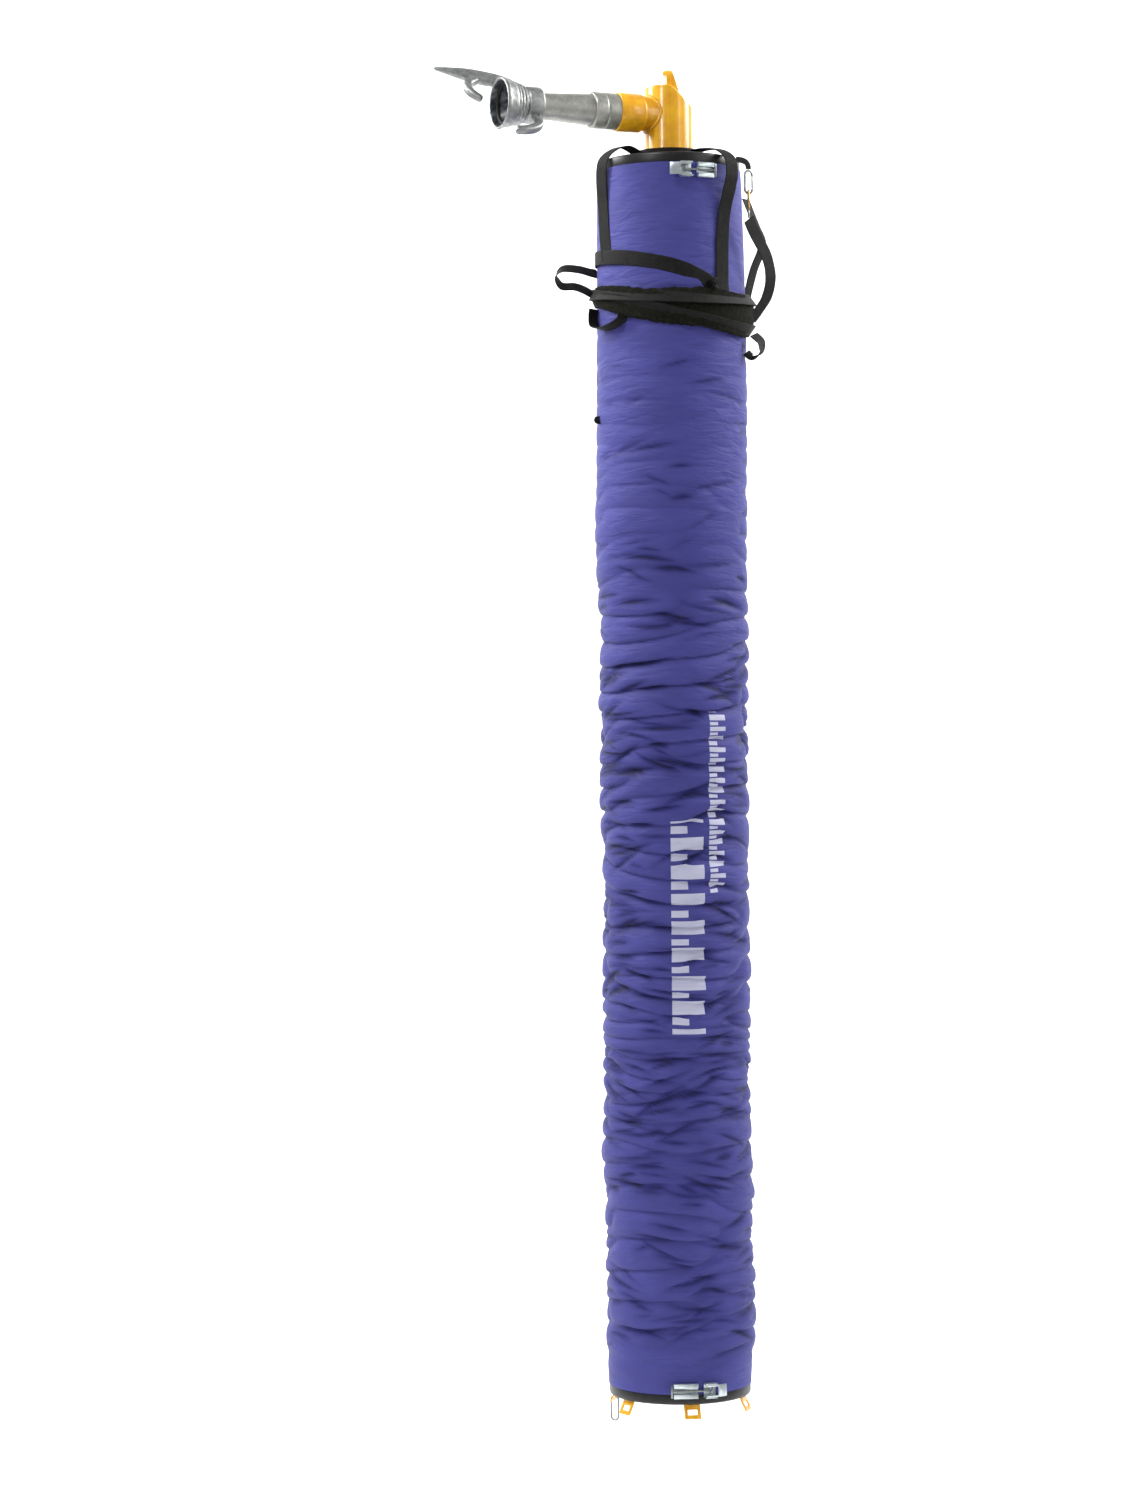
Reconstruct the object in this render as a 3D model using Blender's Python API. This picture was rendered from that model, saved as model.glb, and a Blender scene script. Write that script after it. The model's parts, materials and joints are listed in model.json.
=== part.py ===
"""Lifting tube of a vacuum tube lifter, as a Blender model.

The tube hangs from a lifting eye. A mitred swivel elbow carries the suction pipe with its lever coupling.
Below it a fabric-covered hose hangs between a top plate and a foot plate, with a webbing carrying harness
bundled round its upper end. The origin is the centre of the eye's hole, +Z is up and -Y is the front.
Angles round the tube are measured from the front towards +X.
"""
import math

import bmesh
import bpy
import numpy as np
from mathutils import Euler, Matrix, Vector

GAP = 0.0003  # clearance kept between neighbouring pieces
SIDES = 40  # flats round every turned piece, the same everywhere so that nested pieces keep their clearance

# Head
ELBOW_RADIUS = 0.0508
ELBOW_WALL = 0.004
ELBOW_TOP = -0.009
MITRE_START = 0.003  # where the sloping top begins, from the tube's axis
MITRE_ANGLE = math.radians(42)
BRANCH_RADIUS = 0.0365
BRANCH_WALL = 0.0035
BRANCH_HEIGHT = -0.066
BRANCH_TURN = math.radians(24)  # how far the branch turns from -X towards the front
SOCKET_RADIUS = BRANCH_RADIUS + 0.004
SOCKET_START = 0.066
SOCKET_END = 0.122
EYE_HOLE = 0.011
EYE_TOP = 0.029
EYE_DEPTH = 0.052

# Suction line, along the branch from the tube's axis
COLLAR_RADIUS = BRANCH_RADIUS + 0.001
COLLAR_END = 0.180
PIPE_RADIUS_WIDE = 0.0322
PIPE_RADIUS = 0.0272
PIPE_WALL = 0.003
PIPE_END = 0.345
RING_START = 0.294
RING_LENGTH = 0.036
RING_RADIUS = 0.038
EAR_PIN_HEIGHT = 0.048
EAR_THICKNESS = 0.010
EAR_TILT = math.radians(-45)  # turn of the two ears about the pipe
EAR_PIN_RADIUS = 0.0035
CUP_START = 0.3305
CUP_LENGTH = 0.0535
CUP_RADIUS = 0.0525

# Tube
PLATE_TOP = -0.165
PLATE_THICKNESS = 0.010
SLEEVE_RADIUS = 0.150
RIM_RADIUS = SLEEVE_RADIUS - 0.003
RIM_HEIGHT = 0.021
SKIRT_RADIUS = SLEEVE_RADIUS - 0.007
SKIRT_HEIGHT = 0.064
SKIRT_WALL = 0.004
SPIGOT_RADIUS = SLEEVE_RADIUS - 0.016
SPIGOT_WALL = 0.006
SPIGOT_HEIGHT = 0.118
NECK_BUSH_RADIUS = ELBOW_RADIUS + 0.0112
NECK_BUSH_HEIGHT = 0.021
BEARING_RADIUS = ELBOW_RADIUS + 0.0172
BEARING_HEIGHT = 0.012
RETAINER_HEIGHT = 0.004
TUBE_LENGTH = 2.559  # from the top plate's top to the foot plate's underside
FOOT_BORE = 0.060
SLEEVE_WALL = 0.003
HOSE_WALL = 0.003
CLAMP_THICKNESS = 0.002
CLAMP_WIDTH = 0.012
WIRE_RADIUS = 0.002
WIRE_TURNS = 16

# Toggle latches
LATCH_LEVER = 0.040
LATCH_HALF_WIDTH = 0.015
TOP_LATCH_ANGLE = math.radians(15)
TOP_LATCH_HEIGHT = PLATE_TOP - 0.038
TOP_LATCH_REACH = 0.052
FOOT_LATCH_ANGLE = math.radians(17)
FOOT_LATCH_HEIGHT = PLATE_TOP - TUBE_LENGTH + 0.030
FOOT_LATCH_REACH = 0.066

# Foot
LUG_COUNT = 6
LUG_FIRST_ANGLE = math.radians(8)
LUG_WIDTH = 0.034
LUG_THICKNESS = 0.0035
LUG_RADIUS = SLEEVE_RADIUS - 0.0145
LUG_GROOVE = 0.008
LUG_DROP = 0.028
LUG_SLOT_WIDTH = 0.020
LUG_SLOT_HEIGHT = 0.010
LINK_WIRE = 0.002
LINK_LENGTH = 0.055
LINK_WIDTH = 0.020

# Harness
WEBBING_WIDTH = 0.030
WEBBING_THICKNESS = 0.003
NECK_LOOP_RADIUS = NECK_BUSH_RADIUS + 0.008
STRAP_START = NECK_LOOP_RADIUS + 0.0026
LAYOUT_RADIUS = 0.150  # the harness's points are laid out on a cover of this radius
LAYOUT_PLATE = -0.165  # and under a top plate at this height
LAYOUT_WIDTH = 0.030  # with webbing of this width
SIDE_STAND = (WEBBING_WIDTH - LAYOUT_WIDTH) / 2  # how much further out wider webbing stands at the right side


def linear(value):
    return value / 12.92 if value <= 0.04045 else ((value + 0.055) / 1.055) ** 2.4


def material(name, colour, roughness, metallic):
    """A Principled finish from an sRGB hex colour."""
    made = bpy.data.materials.new(name)
    made.use_nodes = True
    shader = made.node_tree.nodes["Principled BSDF"]
    channels = [int(colour[i:i + 2], 16) / 255 for i in (0, 2, 4)]
    shader.inputs["Base Color"].default_value = [linear(c) for c in channels] + [1.0]
    shader.inputs["Roughness"].default_value = roughness
    shader.inputs["Metallic"].default_value = metallic
    return made


def add_object(name, data, finish, parent=None, location=(0, 0, 0), rotation=(0, 0, 0)):
    piece = bpy.data.objects.new(name, data)
    bpy.context.collection.objects.link(piece)
    piece.location = location
    piece.rotation_euler = rotation
    piece.parent = parent
    if finish is not None:
        data.materials.append(material(name, *finish))
    return piece


def empty(name, parent=None, location=(0, 0, 0), rotation=(0, 0, 0)):
    return add_object(name, None, None, parent, location, rotation)


def closed_mesh(name, vertices, faces):
    """A closed mesh whose faces all point outwards."""
    mesh = bpy.data.meshes.new(name)
    mesh.from_pydata([tuple(v) for v in vertices], [], faces)
    shape = bmesh.new()
    shape.from_mesh(mesh)
    bmesh.ops.recalc_face_normals(shape, faces=shape.faces)
    shape.to_mesh(mesh)
    shape.free()
    mesh.shade_smooth()
    mesh.set_sharp_from_angle(angle=math.radians(35))
    return mesh


def lathe_mesh(name, outline, segments):
    """A closed outline of (radius, height) points, turned about Z."""
    angles = np.arange(segments) * 2 * math.pi / segments
    vertices = [(r * math.cos(a), r * math.sin(a), z) for r, z in outline for a in angles]
    faces = []
    for ring in range(len(outline)):
        below = (ring + 1) % len(outline)
        for step in range(segments):
            after = (step + 1) % segments
            faces.append((ring * segments + step, below * segments + step,
                          below * segments + after, ring * segments + after))
    return closed_mesh(name, vertices, faces)


def lathe(name, outline, finish, segments=SIDES, **place):
    return add_object(name, lathe_mesh(name, outline, segments), finish, **place)


def ring(name, inner, outer, low, high, finish, **place):
    return lathe(name, [(outer, high), (outer, low), (inner, low), (inner, high)], finish, **place)


def prism_mesh(name, outline, low, high):
    """An outline in the XY plane, carried along Z from low to high."""
    count = len(outline)
    vertices = [(x, y, z) for z in (low, high) for x, y in outline]
    faces = [tuple(range(count)), tuple(range(count, 2 * count))]
    faces += [(i, (i + 1) % count, count + (i + 1) % count, count + i) for i in range(count)]
    return closed_mesh(name, vertices, faces)


def prism(name, outline, low, high, finish, **place):
    return add_object(name, prism_mesh(name, outline, low, high), finish, **place)


def circle(radius, segments, centre=(0, 0)):
    return [(centre[0] + radius * math.cos(2 * math.pi * i / segments),
             centre[1] + radius * math.sin(2 * math.pi * i / segments)) for i in range(segments)]


def rectangle(left, right, bottom, top):
    return [(left, bottom), (right, bottom), (right, top), (left, top)]


def tool(name, mesh, **place):
    """A hidden shape that cuts or joins another piece."""
    shape = add_object(name, mesh, None, **place)
    shape.hide_render = True
    shape.display_type = "WIRE"
    return shape


def boolean(piece, operation, shape):
    change = piece.modifiers.new(shape.name, "BOOLEAN")
    change.operation = operation
    change.object = shape
    change.solver = "EXACT"


def rod(name, points, radius, finish, cyclic=False, resolution=2, **place):
    """A round bar along points, with filled ends."""
    curve = bpy.data.curves.new(name, "CURVE")
    curve.dimensions = "3D"
    curve.bevel_depth = radius
    curve.bevel_resolution = resolution
    curve.use_fill_caps = True
    spline = curve.splines.new("POLY")
    spline.points.add(len(points) - 1)
    for point, target in zip(points, spline.points):
        target.co = (*point, 1.0)
    spline.use_cyclic_u = cyclic
    return add_object(name, curve, finish, **place)


def smooth_path(points, steps, cyclic=False):
    """A Catmull-Rom curve through points, with steps pieces between neighbours."""
    nodes = np.array(points, float)
    if cyclic:
        nodes = np.vstack([nodes[-1], nodes, nodes[0], nodes[1]])
    else:
        nodes = np.vstack([2 * nodes[0] - nodes[1], nodes, 2 * nodes[-1] - nodes[-2]])
    path = []
    for a, b, c, d in zip(nodes[:-3], nodes[1:-2], nodes[2:-1], nodes[3:]):
        for t in np.arange(steps) / steps:
            path.append(0.5 * (2 * b + (c - a) * t + (2 * a - 5 * b + 4 * c - d) * t ** 2
                               + (3 * b - a - 3 * c + d) * t ** 3))
    if not cyclic:
        path.append(nodes[-2])
    return np.array(path)


def ribbon(name, path, across, width, thickness, finish, cyclic=False):
    """Flat webbing: a rectangle carried along path, its width held near the across directions."""
    count = len(path)
    if cyclic:
        tangent = np.roll(path, -1, axis=0) - np.roll(path, 1, axis=0)
    else:
        tangent = np.gradient(path, axis=0)
    tangent /= np.linalg.norm(tangent, axis=1)[:, None]
    across = across - tangent * np.sum(across * tangent, axis=1)[:, None]
    across /= np.linalg.norm(across, axis=1)[:, None]
    facing = np.cross(tangent, across)
    half_width = np.broadcast_to(np.asarray(width) / 2, count)[:, None]
    half_depth = np.broadcast_to(np.asarray(thickness) / 2, count)[:, None]
    corners = [path + s * across * half_width + f * facing * half_depth
               for s, f in ((-1, -1), (1, -1), (1, 1), (-1, 1))]
    vertices = np.stack(corners, axis=1).reshape(-1, 3)
    faces = []
    for i in range(count if cyclic else count - 1):
        j = (i + 1) % count
        faces += [(4 * i + k, 4 * i + (k + 1) % 4, 4 * j + (k + 1) % 4, 4 * j + k) for k in range(4)]
    if not cyclic:
        faces += [(0, 1, 2, 3), (4 * count - 4, 4 * count - 3, 4 * count - 2, 4 * count - 1)]
    return add_object(name, closed_mesh(name, vertices, faces), finish)


def around(angle, radius, height):
    """A point from its angle in degrees from the front, its radius and its height."""
    turn = math.radians(angle)
    return (radius * math.sin(turn), -radius * math.cos(turn), height)


YELLOW = ("E0A314", 0.35, 0.0)
GALVANISED = ("A9AAA2", 0.45, 0.85)
BLACK_PAINT = ("1B1B1C", 0.45, 0.0)
RUBBER = ("202020", 0.8, 0.0)
STEEL = ("C9CCCB", 0.3, 1.0)
ZINC = ("D3D8D8", 0.35, 0.9)
NYLON = ("45458C", 0.75, 0.0)
WEBBING = ("1D1E1D", 0.85, 0.0)
BRASS = ("C9A24A", 0.35, 1.0)
SPRING_STEEL = ("6E7073", 0.4, 1.0)


def lifting_eye():
    """Forged eye on the elbow's sloping top: upright on one side, slanted on the other."""
    slope = math.tan(MITRE_ANGLE)
    seat = ELBOW_TOP + GAP
    lean = 0.004
    base_right = 0.023
    lift = GAP / math.cos(MITRE_ANGLE)
    foot = seat - slope * (base_right - MITRE_START) + lift
    side = [(-lean, seat), (MITRE_START, seat), (base_right, foot), (base_right - 0.001, foot + 0.004),
            (0.008, 0.024), (0.004, EYE_TOP - 0.001), (-0.003, EYE_TOP), (-0.011, EYE_TOP - 0.006),
            (-0.013, 0.017), (-0.010, 0.014), (-lean, 0.013)]
    eye = prism("suspension_eye", side, -EYE_DEPTH / 2, EYE_DEPTH / 2, YELLOW, rotation=(math.pi / 2, 0, 0))
    half = EYE_DEPTH / 2
    arch = [(half * math.cos(a), EYE_TOP - half + half * math.sin(a)) for a in np.linspace(0, math.pi, 15)]
    front = [(half, -0.06)] + arch + [(-half, -0.06)]
    upright = (math.pi / 2, 0, math.pi / 2)
    boolean(eye, "INTERSECT", tool("eye_front", prism_mesh("eye_front", front, -0.05, 0.05), rotation=upright))
    hole = prism_mesh("eye_hole", circle(EYE_HOLE, 20), -0.05, 0.05)
    boolean(eye, "DIFFERENCE", tool("eye_hole", hole, rotation=upright))


def swivel_elbow(branch):
    """Fabricated elbow: an upright tube with a mitred top, and a branch with a socket."""
    bottom = PLATE_TOP - PLATE_THICKNESS - BEARING_HEIGHT - RETAINER_HEIGHT - 0.006
    groove_low = bottom + 0.006 - GAP
    groove_high = groove_low + RETAINER_HEIGHT + GAP
    groove = ELBOW_RADIUS - 0.0018
    bore = ELBOW_RADIUS - ELBOW_WALL
    ceiling = BRANCH_HEIGHT + 0.0125
    outline = [(ELBOW_RADIUS, ELBOW_TOP), (ELBOW_RADIUS, groove_high), (groove, groove_high),
               (groove, groove_low), (ELBOW_RADIUS, groove_low), (ELBOW_RADIUS, bottom), (bore, bottom),
               (bore, ceiling)]
    segments = SIDES
    angles = np.arange(segments) * 2 * math.pi / segments
    vertices = [(r * math.cos(a), r * math.sin(a), z) for r, z in outline for a in angles]
    faces = []
    for level in range(len(outline) - 1):
        for step in range(segments):
            after = (step + 1) % segments
            faces.append((level * segments + step, (level + 1) * segments + step,
                          (level + 1) * segments + after, level * segments + after))
    last = (len(outline) - 1) * segments
    faces += [tuple(range(segments)), tuple(range(last, last + segments))]
    elbow = add_object("swivel_elbow", closed_mesh("swivel_elbow", vertices, faces), YELLOW)
    along = (0, math.pi / 2, 0)
    arm = prism_mesh("branch_arm", circle(BRANCH_RADIUS, SIDES), 0.0, SOCKET_END)
    boolean(elbow, "UNION", tool("branch_arm", arm, parent=branch, rotation=along))
    socket = prism_mesh("branch_socket", circle(SOCKET_RADIUS, SIDES), SOCKET_START, SOCKET_END)
    boolean(elbow, "UNION", tool("branch_socket", socket, parent=branch, rotation=along))
    passage = prism_mesh("branch_passage", circle(BRANCH_RADIUS - BRANCH_WALL, SIDES), -0.02, SOCKET_END + 0.01)
    boolean(elbow, "DIFFERENCE", tool("branch_passage", passage, parent=branch, rotation=along))
    wide = prism_mesh("tube_passage", circle(bore, segments), bottom - 0.01, ceiling)
    boolean(elbow, "DIFFERENCE", tool("tube_passage", wide))
    drop = 0.08
    wedge = [(MITRE_START, ELBOW_TOP), (MITRE_START + drop / math.tan(MITRE_ANGLE), ELBOW_TOP - drop),
             (0.2, 0.05), (MITRE_START, 0.05)]
    mitre = prism_mesh("mitre", wedge, -0.1, 0.1)
    boolean(elbow, "DIFFERENCE", tool("mitre", mitre, rotation=(math.pi / 2, 0, 0)))
    ring("retaining_ring", groove + GAP, ELBOW_RADIUS + 0.010, groove_low + GAP, groove_high - GAP, STEEL)
    bearing_top = PLATE_TOP - PLATE_THICKNESS - GAP
    ring("thrust_bearing", ELBOW_RADIUS + GAP, BEARING_RADIUS, groove_high + GAP, bearing_top, STEEL)


def suction_line(branch):
    """Pipe socket, tapered pipe, coupling cup and seal, turned about the branch's axis."""
    along = dict(parent=branch, rotation=(0, math.pi / 2, 0))
    nipple = BRANCH_RADIUS - BRANCH_WALL - GAP
    bore = PIPE_RADIUS_WIDE + GAP
    seat = SOCKET_END + 0.038
    start = SOCKET_END + GAP
    collar = [(nipple, SOCKET_END - 0.037), (nipple, start), (COLLAR_RADIUS, start),
              (COLLAR_RADIUS, start + 0.026), (COLLAR_RADIUS - 0.001, start + 0.028),
              (COLLAR_RADIUS - 0.001, start + 0.030), (COLLAR_RADIUS, start + 0.032),
              (COLLAR_RADIUS, COLLAR_END - 0.003), (COLLAR_RADIUS - 0.002, COLLAR_END), (bore, COLLAR_END),
              (bore, seat), (nipple - 0.004, seat), (nipple - 0.004, SOCKET_END - 0.037)]
    lathe("suction_collar", collar, GALVANISED, **along)
    taper_end = RING_START - 0.010
    pipe = [(PIPE_RADIUS_WIDE, seat + GAP), (PIPE_RADIUS_WIDE, COLLAR_END + 0.004), (PIPE_RADIUS, taper_end),
            (PIPE_RADIUS, PIPE_END), (PIPE_RADIUS - PIPE_WALL, PIPE_END),
            (PIPE_RADIUS - PIPE_WALL, taper_end), (PIPE_RADIUS_WIDE - PIPE_WALL, COLLAR_END + 0.004),
            (PIPE_RADIUS_WIDE - PIPE_WALL, seat + GAP)]
    lathe("suction_pipe", pipe, GALVANISED, **along)
    mouth = CUP_START + CUP_LENGTH
    hub = PIPE_RADIUS + GAP
    throat = PIPE_END + GAP
    cup = [(hub, CUP_START), (hub, throat), (CUP_RADIUS - 0.0165, throat + 0.0067),
           (CUP_RADIUS - 0.009, mouth - 0.018), (CUP_RADIUS - 0.006, mouth - 0.004), (CUP_RADIUS - 0.004, mouth),
           (CUP_RADIUS - 0.001, mouth), (CUP_RADIUS, mouth - 0.003), (CUP_RADIUS, mouth - 0.008),
           (CUP_RADIUS - 0.003, mouth - 0.012), (CUP_RADIUS - 0.005, mouth - 0.024),
           (CUP_RADIUS - 0.0075, mouth - 0.032), (CUP_RADIUS - 0.012, mouth - 0.038),
           (CUP_RADIUS - 0.0155, mouth - 0.044), (CUP_RADIUS - 0.0165, CUP_START)]
    lathe("coupling_cup", cup, GALVANISED, **along)
    seal_outer = CUP_RADIUS - 0.009 - GAP
    seal = [(seal_outer, mouth - 0.0175), (seal_outer - 0.005, mouth - 0.0175),
            (seal_outer - 0.0045, mouth - 0.0125), (seal_outer + 0.0008, mouth - 0.0115)]
    lathe("coupling_seal", seal, RUBBER, **along)


def hook_outline():
    """A J along (forward, outward) from the ear pin: out, then forward to a thinner tip."""
    turns = np.linspace(0, math.pi / 2, 7)
    outer = [(0.057 - 0.065 * math.cos(t), 0.008 + 0.043 * math.sin(t)) for t in turns]
    inner = [(0.057 - 0.049 * math.cos(t), 0.008 + 0.028 * math.sin(t)) for t in turns]
    root = [(0.008 * math.cos(a), 0.008 * math.sin(a)) for a in np.linspace(math.pi, 2 * math.pi, 7)]
    return root + inner + outer[::-1]


def lever_outline():
    """The hand lever: a neck from its pin, a long grip tapering forward, and a hook hanging under it."""
    root = [(0.008 * math.cos(a), 0.008 * math.sin(a)) for a in np.linspace(0.8 * math.pi, 1.9 * math.pi, 7)]
    belly = [(0.047, 0.022), (0.063, 0.026), (0.086, 0.020), (0.108, 0.008), (0.118, -0.008), (0.114, -0.024),
             (0.104, -0.032), (0.103, -0.044), (0.118, -0.041), (0.129, -0.026), (0.133, -0.006),
             (0.127, 0.012), (0.112, 0.027)]
    grip = [(0.150, 0.046), (0.184, 0.060), (0.186, 0.064), (0.140, 0.060), (0.092, 0.055), (0.056, 0.048),
            (0.040, 0.036)]
    return root + belly + grip


def forked(name, outline, ear, side, finish):
    """A cast hook whose root straddles the ear and turns on the ear's pin."""
    half = EAR_THICKNESS / 2 + 0.0045
    points = [(x, side * y) for x, y in outline]
    place = dict(parent=ear, location=(0, side * EAR_PIN_HEIGHT, 0))
    hook = prism(name, points, -half, half, finish, **place)
    slot = EAR_THICKNESS / 2 + GAP
    mouth = sorted((-side * 0.012, side * 0.0115))
    gap = prism_mesh(name + "_slot", rectangle(-0.012, 0.013, *mouth), -slot, slot)
    boolean(hook, "DIFFERENCE", tool(name + "_slot", gap, **place))
    hole = prism_mesh(name + "_hole", circle(EAR_PIN_RADIUS + GAP, 16), -0.03, 0.03)
    boolean(hook, "DIFFERENCE", tool(name + "_hole", hole, **place))
    return hook


def coupling_ring(branch):
    """Lever ring with two ears, their pins, the closing hook and the hand lever."""
    ear = empty("ear_frame", branch, (RING_START + RING_LENGTH / 2, 0, 0), (EAR_TILT, 0, 0))
    half = RING_LENGTH / 2
    bore = PIPE_RADIUS + GAP
    outline = [(bore, -half), (bore, half - GAP), (RING_RADIUS - 0.003, half - GAP), (RING_RADIUS, half - 0.004),
               (RING_RADIUS, 0.004 - half), (RING_RADIUS - 0.003, -half)]
    barrel = lathe("lever_ring", outline, GALVANISED, parent=ear, rotation=(0, math.pi / 2, 0))
    for side, word in ((1, "near"), (-1, "far")):
        tip = [(0.0075 * math.cos(a), side * (EAR_PIN_HEIGHT + 0.0075 * math.sin(a)))
               for a in np.linspace(0, math.pi, 9)]
        shape = [(0.010, side * (RING_RADIUS - 0.004))] + tip + [(-0.010, side * (RING_RADIUS - 0.004))]
        plate = prism_mesh("ear_" + word, shape, -EAR_THICKNESS / 2, EAR_THICKNESS / 2)
        boolean(barrel, "UNION", tool("ear_" + word, plate, parent=ear))
        hole = prism_mesh("ear_hole_" + word, circle(EAR_PIN_RADIUS + GAP, 16), -0.03, 0.03)
        place = dict(parent=ear, location=(0, side * EAR_PIN_HEIGHT, 0))
        boolean(barrel, "DIFFERENCE", tool("ear_hole_" + word, hole, **place))
        prism("ear_pin_" + word, circle(EAR_PIN_RADIUS, 16), -0.012, 0.012, STEEL, **place)
    forked("coupling_hook", hook_outline(), ear, 1, GALVANISED)
    forked("hand_lever", lever_outline(), ear, -1, GALVANISED)


def end_plate(name, direction, bore, groove=()):
    """Plate, rim, skirt and hose spigot in one casting; direction is -1 at the top and +1 at the foot."""
    def level(depth):
        return PLATE_TOP - depth if direction < 0 else PLATE_TOP - TUBE_LENGTH + depth
    thick = PLATE_THICKNESS
    inner_skirt = SKIRT_RADIUS - SKIRT_WALL
    outline = [(bore, 0), *groove, (RIM_RADIUS - 0.004, 0), (RIM_RADIUS - 0.0015, 0.0015),
               (RIM_RADIUS, 0.005), (RIM_RADIUS, RIM_HEIGHT), (SKIRT_RADIUS, RIM_HEIGHT), (SKIRT_RADIUS, SKIRT_HEIGHT),
               (inner_skirt, SKIRT_HEIGHT), (inner_skirt, thick), (SPIGOT_RADIUS, thick),
               (SPIGOT_RADIUS, SPIGOT_HEIGHT), (SPIGOT_RADIUS - SPIGOT_WALL, SPIGOT_HEIGHT),
               (SPIGOT_RADIUS - SPIGOT_WALL, thick), (bore, thick)]
    return lathe(name, [(r, level(depth)) for r, depth in outline], BLACK_PAINT)


def tube_ends():
    """Top plate with bush and seal, foot plate, hose clamps and the draw bands in the cover's hems."""
    end_plate("top_plate", -1, ELBOW_RADIUS + GAP)
    far = math.hypot(LUG_RADIUS + LUG_THICKNESS, LUG_WIDTH / 2) + 0.0008
    near = LUG_RADIUS - 2 * GAP
    groove = [(near, 0), (near, LUG_GROOVE), (far, LUG_GROOVE), (far, 0)]
    end_plate("foot_plate", 1, FOOT_BORE, groove)
    bottom = PLATE_TOP - TUBE_LENGTH
    bush_low = PLATE_TOP + GAP
    bush_high = PLATE_TOP + NECK_BUSH_HEIGHT
    seal_seat = ELBOW_RADIUS + 0.0045
    bush = [(ELBOW_RADIUS + GAP, bush_low), (NECK_BUSH_RADIUS, bush_low), (NECK_BUSH_RADIUS, bush_high - 0.003),
            (NECK_BUSH_RADIUS - 0.003, bush_high), (seal_seat + GAP, bush_high), (seal_seat + GAP, bush_high - 0.008),
            (ELBOW_RADIUS + GAP, bush_high - 0.008)]
    lathe("neck_bush", bush, BLACK_PAINT)
    ring("shaft_seal", ELBOW_RADIUS + GAP, seal_seat, bush_high - 0.0077, bush_high + 0.001, RUBBER)
    clamp_in = SPIGOT_RADIUS + GAP + HOSE_WALL + GAP
    band_in = SKIRT_RADIUS + GAP
    band_out = SLEEVE_RADIUS - SLEEVE_WALL - GAP
    for word, edge, way in (("upper", PLATE_TOP, -1), ("lower", bottom, 1)):
        clamp = sorted((edge + way * 0.090, edge + way * (0.090 + CLAMP_WIDTH)))
        ring(word + "_hose_clamp", clamp_in, clamp_in + CLAMP_THICKNESS, *clamp, ZINC)
        band = sorted((edge + way * (RIM_HEIGHT + 0.008), edge + way * (SKIRT_HEIGHT - 0.004)))
        ring(word + "_draw_band", band_in, band_out, *band, STEEL)


def hose_and_cover():
    """The lifting hose on its two spigots, its spring wire, and the fabric cover between the rims."""
    bottom = PLATE_TOP - TUBE_LENGTH
    inner = SPIGOT_RADIUS + GAP
    hose_top = PLATE_TOP - PLATE_THICKNESS - 0.002
    hose_bottom = bottom + PLATE_THICKNESS + 0.002
    ring("lifting_hose", inner, inner + HOSE_WALL, hose_bottom, hose_top, RUBBER)
    wire_top = PLATE_TOP - SPIGOT_HEIGHT - 0.010
    wire_bottom = bottom + SPIGOT_HEIGHT + 0.010
    radius = inner - WIRE_RADIUS - 2 * GAP
    turns = np.linspace(0, 1, WIRE_TURNS * 12 + 1)
    points = [(radius * math.cos(2 * math.pi * WIRE_TURNS * t), radius * math.sin(2 * math.pi * WIRE_TURNS * t),
               wire_top + (wire_bottom - wire_top) * t) for t in turns]
    rod("hose_spring_wire", points, WIRE_RADIUS, SPRING_STEEL, resolution=0)
    ring("cover_sleeve", SLEEVE_RADIUS - SLEEVE_WALL, SLEEVE_RADIUS, bottom + RIM_HEIGHT + GAP,
         PLATE_TOP - RIM_HEIGHT - GAP, NYLON)


def bar_between(name, start, end, radius, sides=12, **place):
    """A round bar from start to end, as a hidden shape to join on."""
    way = Vector(end) - Vector(start)
    turn = way.to_track_quat("Z", "Y").to_matrix().to_4x4()
    mesh = prism_mesh(name, circle(radius, sides), 0, way.length)
    mesh.transform(Matrix.Translation(start) @ turn)
    return mesh


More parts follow.
